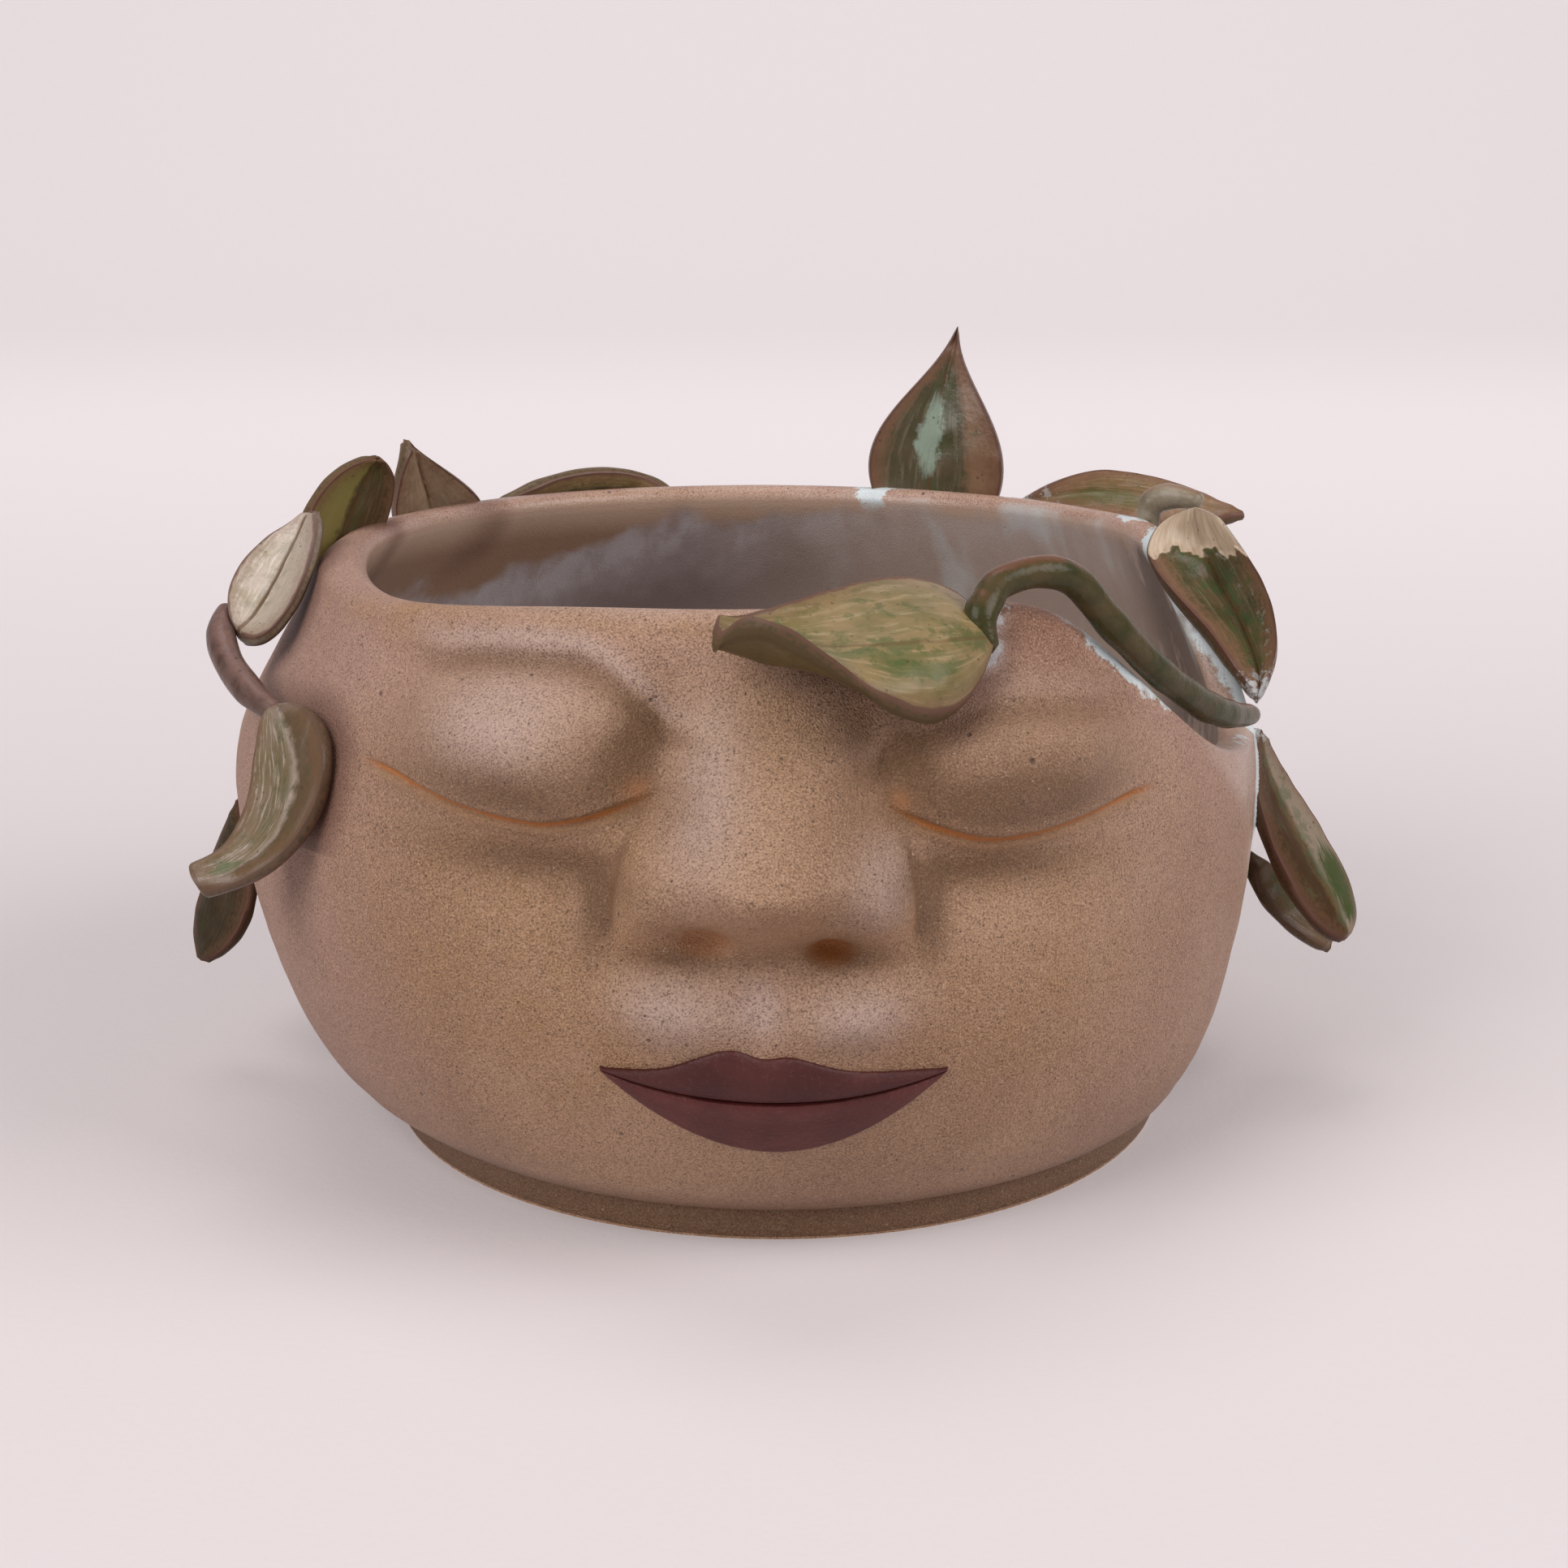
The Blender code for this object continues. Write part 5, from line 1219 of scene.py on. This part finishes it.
# Looks of each leaf: how green, pale and brown, and how much milky glaze lies at its root
LOOKS = {
    "front_leaf": dict(base=(0.26, 0.18, 0.082), deep=(0.17, 0.132, 0.048), cream=(0.41, 0.312, 0.185), green=0.6,
        pale=0.5, pool=(0.055, 0.088, 0.022),
        spots=((0.42, 0.3, 0.13, 0.16, (0.055, 0.095, 0.024), 0.55),
               (0.2, 0.5, 0.1, 0.35, (0.09, 0.11, 0.032), 0.55)),
        brown=0.35, matt=0.32, specular=0.24, turned=-1.0, under=0.8, under_tone=(0.075, 0.05, 0.016),
        side=(0.115, 0.066, 0.028), side_deep=(0.06, 0.052, 0.02)),
    "right_folded_leaf": dict(base=(0.115, 0.078, 0.036), deep=(0.055, 0.05, 0.02), green=0.55, pale=0.15,
        brown=0.8, frost=0.6, frost_side=0.35, specular=0.2, tip=((0.56, 0.43, 0.32), (0.42, 0.31, 0.215))),
    "right_hanging_leaf": dict(
        halves=((-1.0, (0.062, 0.03, 0.012), 0.95, 0.18), (1.0, (0.4, 0.315, 0.245), 0.6, -0.15)),
        spots=((0.55, 0.72, 0.6, 0.2, (0.042, 0.066, 0.014), 0.9),), base=(0.13, 0.08, 0.036),
        deep=(0.065, 0.05, 0.02), green=0.4, pale=0.1, brown=0.35, under=0.0, frost=0.5, frost_reach=0.16,
        specular=0.1, matt=0.28, side=(0.085, 0.045, 0.018), side_deep=(0.048, 0.028, 0.012)),
    "right_lower_leaf": dict(base=(0.14, 0.098, 0.052), deep=(0.085, 0.068, 0.03), green=0.5, pale=0.3, brown=0.7,
        specular=0.2),
    "back_right_leaf": dict(base=(0.27, 0.155, 0.085), deep=(0.17, 0.105, 0.048), green=0.1, pale=0.3, brown=0.8,
        frost=0.7, spots=((0.3, 0.4, 0.45, 0.3, (0.095, 0.09, 0.03), 0.8),)),
    "tall_back_leaf": dict(base=(0.11, 0.08, 0.048), deep=(0.07, 0.062, 0.03), green=0.4, pale=0.2, brown=0.9,
        frost=0.9, frost_reach=0.16, pool=(0.06, 0.085, 0.03),
        halves=((1.0, (0.26, 0.145, 0.085), 0.8, 0.42), (-1.0, (0.2, 0.115, 0.065), 0.6, 0.6)),
        spots=((-0.08, 0.52, 0.24, 0.17, (0.34, 0.43, 0.35), 0.75),)),
    "back_low_leaf": dict(base=(0.29, 0.21, 0.085), deep=(0.18, 0.125, 0.045), green=0.3, pale=0.3, brown=0.6),
    "back_left_pointed_leaf": dict(base=(0.38, 0.25, 0.165), deep=(0.27, 0.18, 0.11), green=0.1, pale=0.3,
        brown=0.4),
    "back_left_round_leaf": dict(base=(0.085, 0.045, 0.02), deep=(0.07, 0.05, 0.018),
        halves=((-1.0, (0.23, 0.19, 0.06), 0.8, 0.1),), green=0.15, pale=0.1, brown=0.6, matt=0.34, specular=0.08),
    "left_folded_leaf": dict(base=(0.56, 0.465, 0.4), deep=(0.4, 0.33, 0.24), cream=(0.66, 0.575, 0.51), green=0.2,
        pale=0.9, brown=0.4, halves=((1.0, (0.34, 0.27, 0.2), 0.6, 0.0),), score=0.85, side=(0.28, 0.23, 0.16),
        side_deep=(0.17, 0.14, 0.09)),
    # left_lower_leaf: the pale half before the brown band is a painted highlight line
    "left_lower_leaf": dict(base=(0.27, 0.19, 0.13), deep=(0.2, 0.15, 0.085), cream=(0.6, 0.52, 0.44), green=0.4,
        pale=0.9, matt=0.14, specular=0.36,
        halves=((1.0, (0.6, 0.5, 0.44), 0.7, 0.2), (1.0, (0.092, 0.048, 0.022), 0.95, 0.3)),
        spots=((0.15, 0.9, 0.3, 0.05, (0.06, 0.13, 0.04), 0.6),), brown=0.7, side=(0.15, 0.085, 0.045)),
    "left_rear_leaf": dict(base=(0.048, 0.028, 0.013), deep=(0.034, 0.024, 0.011), green=0.2, pale=0.05, brown=0.3,
        under=0.0, specular=0.08, matt=0.4, side=(0.06, 0.035, 0.016)),
}
VINE_LOOKS = {
    "front_vine": dict(base=(0.084, 0.061, 0.027), deep=(0.042, 0.042, 0.014), edge=(0.155, 0.062, 0.036)),
    "left_vine": dict(base=(0.145, 0.088, 0.072), deep=(0.075, 0.042, 0.035), edge=(0.2, 0.115, 0.095)),
    "back_stem": dict(base=(0.33, 0.28, 0.21), deep=(0.18, 0.14, 0.09), edge=(0.23, 0.13, 0.08)),
}
GLAZED = ("right_folded_leaf", "right_hanging_leaf", "back_right_leaf", "tall_back_leaf", "front_vine", "back_stem")


# Stage

SWEEP_FRONT = -1.6              # the cloth lies flat from here
SWEEP_BEND = 0.9                # to here, then bends up with this radius
SWEEP_RADIUS = 0.6
SWEEP_TOP = 3.0
SWEEP_HALF_WIDTH = 3.0
SWEEP_STEPS = 12
FLOOR = (0.62, 0.563, 0.571)
GLOW = (0.78, 0.715, 0.73)      # the cloth's own glow, which only the camera and reflections see
GLOW_NEAR = 0.16
GLOW_FAR = 0.46                 # what comes on top behind the pot, and for the camera also in front of it
WORLD_TINT = (1.0, 0.975, 0.985, 1.0)
WORLD_LIGHT = 0.15
WORLD_SEEN = 0.76
LIGHT_TINT = (1.0, 0.985, 0.98)
LIGHT_AIM = (0.0, 0.0, 0.04)
LIGHTS = (
    ("left_softbox", (-0.66, -0.66, 0.72), 0.75, 8.8),
    ("right_softbox", (0.82, -0.36, 0.68), 0.7, 7.7),
    ("overhead", (-0.15, 0.15, 1.2), 0.6, 3.4),
)
LENS = 64.53
CAMERA_PLACE = (0.00104, -0.4054, 0.1672)
CAMERA_PITCH = 16.5             # degrees that it looks down


def make_stage():
    """Pale sweep of cloth under and behind the pot, soft lights, the world and the camera."""
    line = [(SWEEP_FRONT, 0.0), (SWEEP_BEND, 0.0)]
    for step in range(1, SWEEP_STEPS + 1):
        angle = 0.5 * math.pi * step / SWEEP_STEPS
        line.append((SWEEP_BEND + SWEEP_RADIUS * math.sin(angle), SWEEP_RADIUS - SWEEP_RADIUS * math.cos(angle)))
    line.append((SWEEP_BEND + SWEEP_RADIUS, SWEEP_TOP))
    points = [(x, y, z) for y, z in line for x in (-SWEEP_HALF_WIDTH, SWEEP_HALF_WIDTH)]
    faces = [(2 * i, 2 * i + 1, 2 * i + 3, 2 * i + 2) for i in range(len(line) - 1)]
    mesh = bpy.data.meshes.new("pale_sweep")
    mesh.from_pydata(points, [], faces)
    mesh.shade_smooth()
    sweep = add_object("pale_sweep", mesh)
    p = Paint("pale_cloth")
    p.colour = FLOOR
    weave = p.noise(0.0012, 2.0)
    y = p.wire(p.node("SeparateXYZ", ((0, p.place),)), 1)
    rays = p.node("LightPath")
    seen, glossy, through = [p.wire(rays, f"Is {kind} Ray") for kind in ("Camera", "Glossy", "Transmission")]
    shown = p.math("ADD", seen + glossy, through, clamp=True)
    glow = p.step(y, -0.05, 0.72) * GLOW_FAR + GLOW_NEAR + p.step(y, -0.6, -1.2) * seen * GLOW_FAR
    p.plug(p.shader.inputs["Emission Color"], GLOW)
    p.plug(p.shader.inputs["Emission Strength"], shown * glow)
    mesh.materials.append(p.done(0.95, p.bump(weave, 0.00006), 0.1))
    for name, place, size, power in LIGHTS:
        data = bpy.data.lights.new(name, "AREA")
        data.shape = "SQUARE"
        data.size = size
        data.energy = power
        data.color = LIGHT_TINT
        light = add_object(name, data)
        light.location = place
        light.rotation_euler = (Vector(LIGHT_AIM) - Vector(place)).to_track_quat("-Z", "Y").to_euler()
    world = bpy.data.worlds.new("studio")
    bpy.context.scene.world = world
    world.use_nodes = True
    background = world.node_tree.nodes["Background"]
    background.inputs["Color"].default_value = WORLD_TINT
    rays = world.node_tree.nodes.new("ShaderNodeLightPath")
    strength = world.node_tree.nodes.new("ShaderNodeMath")
    strength.operation = "MULTIPLY_ADD"
    strength.inputs[1].default_value = WORLD_SEEN - WORLD_LIGHT
    strength.inputs[2].default_value = WORLD_LIGHT
    world.node_tree.links.new(rays.outputs["Is Camera Ray"], strength.inputs[0])
    world.node_tree.links.new(strength.outputs[0], background.inputs["Strength"])
    data = bpy.data.cameras.new("camera")
    data.lens = LENS
    data.sensor_width = 36.0
    data.clip_start = 0.01
    camera = add_object("camera", data)
    camera.location = CAMERA_PLACE
    camera.rotation_euler = (math.radians(90.0 - CAMERA_PITCH), 0.0, 0.0)
    bpy.context.scene.camera = camera
    bpy.context.scene.view_settings.view_transform = "Standard"


# The scene

make_stage()
glazed = []                     # points of the leaves and vines whose glaze runs on to the wall
plain = []
for seed, (name, shape) in enumerate(LEAVES.items()):
    points = make_leaf(name, shape, leaf_paint(name + "_glaze", LOOKS[name]), 20 + seed)
    (glazed if name in GLAZED else plain).extend(points.tolist())
for seed, (name, places) in enumerate(VINES.items()):
    points = make_vine(name, places, vine_paint(name + "_glaze", VINE_LOOKS[name]), 60 + seed)
    (glazed if name in GLAZED else plain).extend(points.tolist())
make_wall(wall_paint(), glazed, plain)
make_lip("upper_lip_slip", upper_lip_line, 1.0, lip_paint("burgundy_upper", LIP_TONES[0], 0.9, 1.1), "upper_lip")
make_lip("lower_lip_slip", lower_lip_line, -1.0, lip_paint("burgundy_lower", LIP_TONES[1], -0.1, 0.42), "lower_lip")
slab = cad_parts["base_slab"]
slab.data.materials.clear()
slab.data.materials.append(slab_paint())
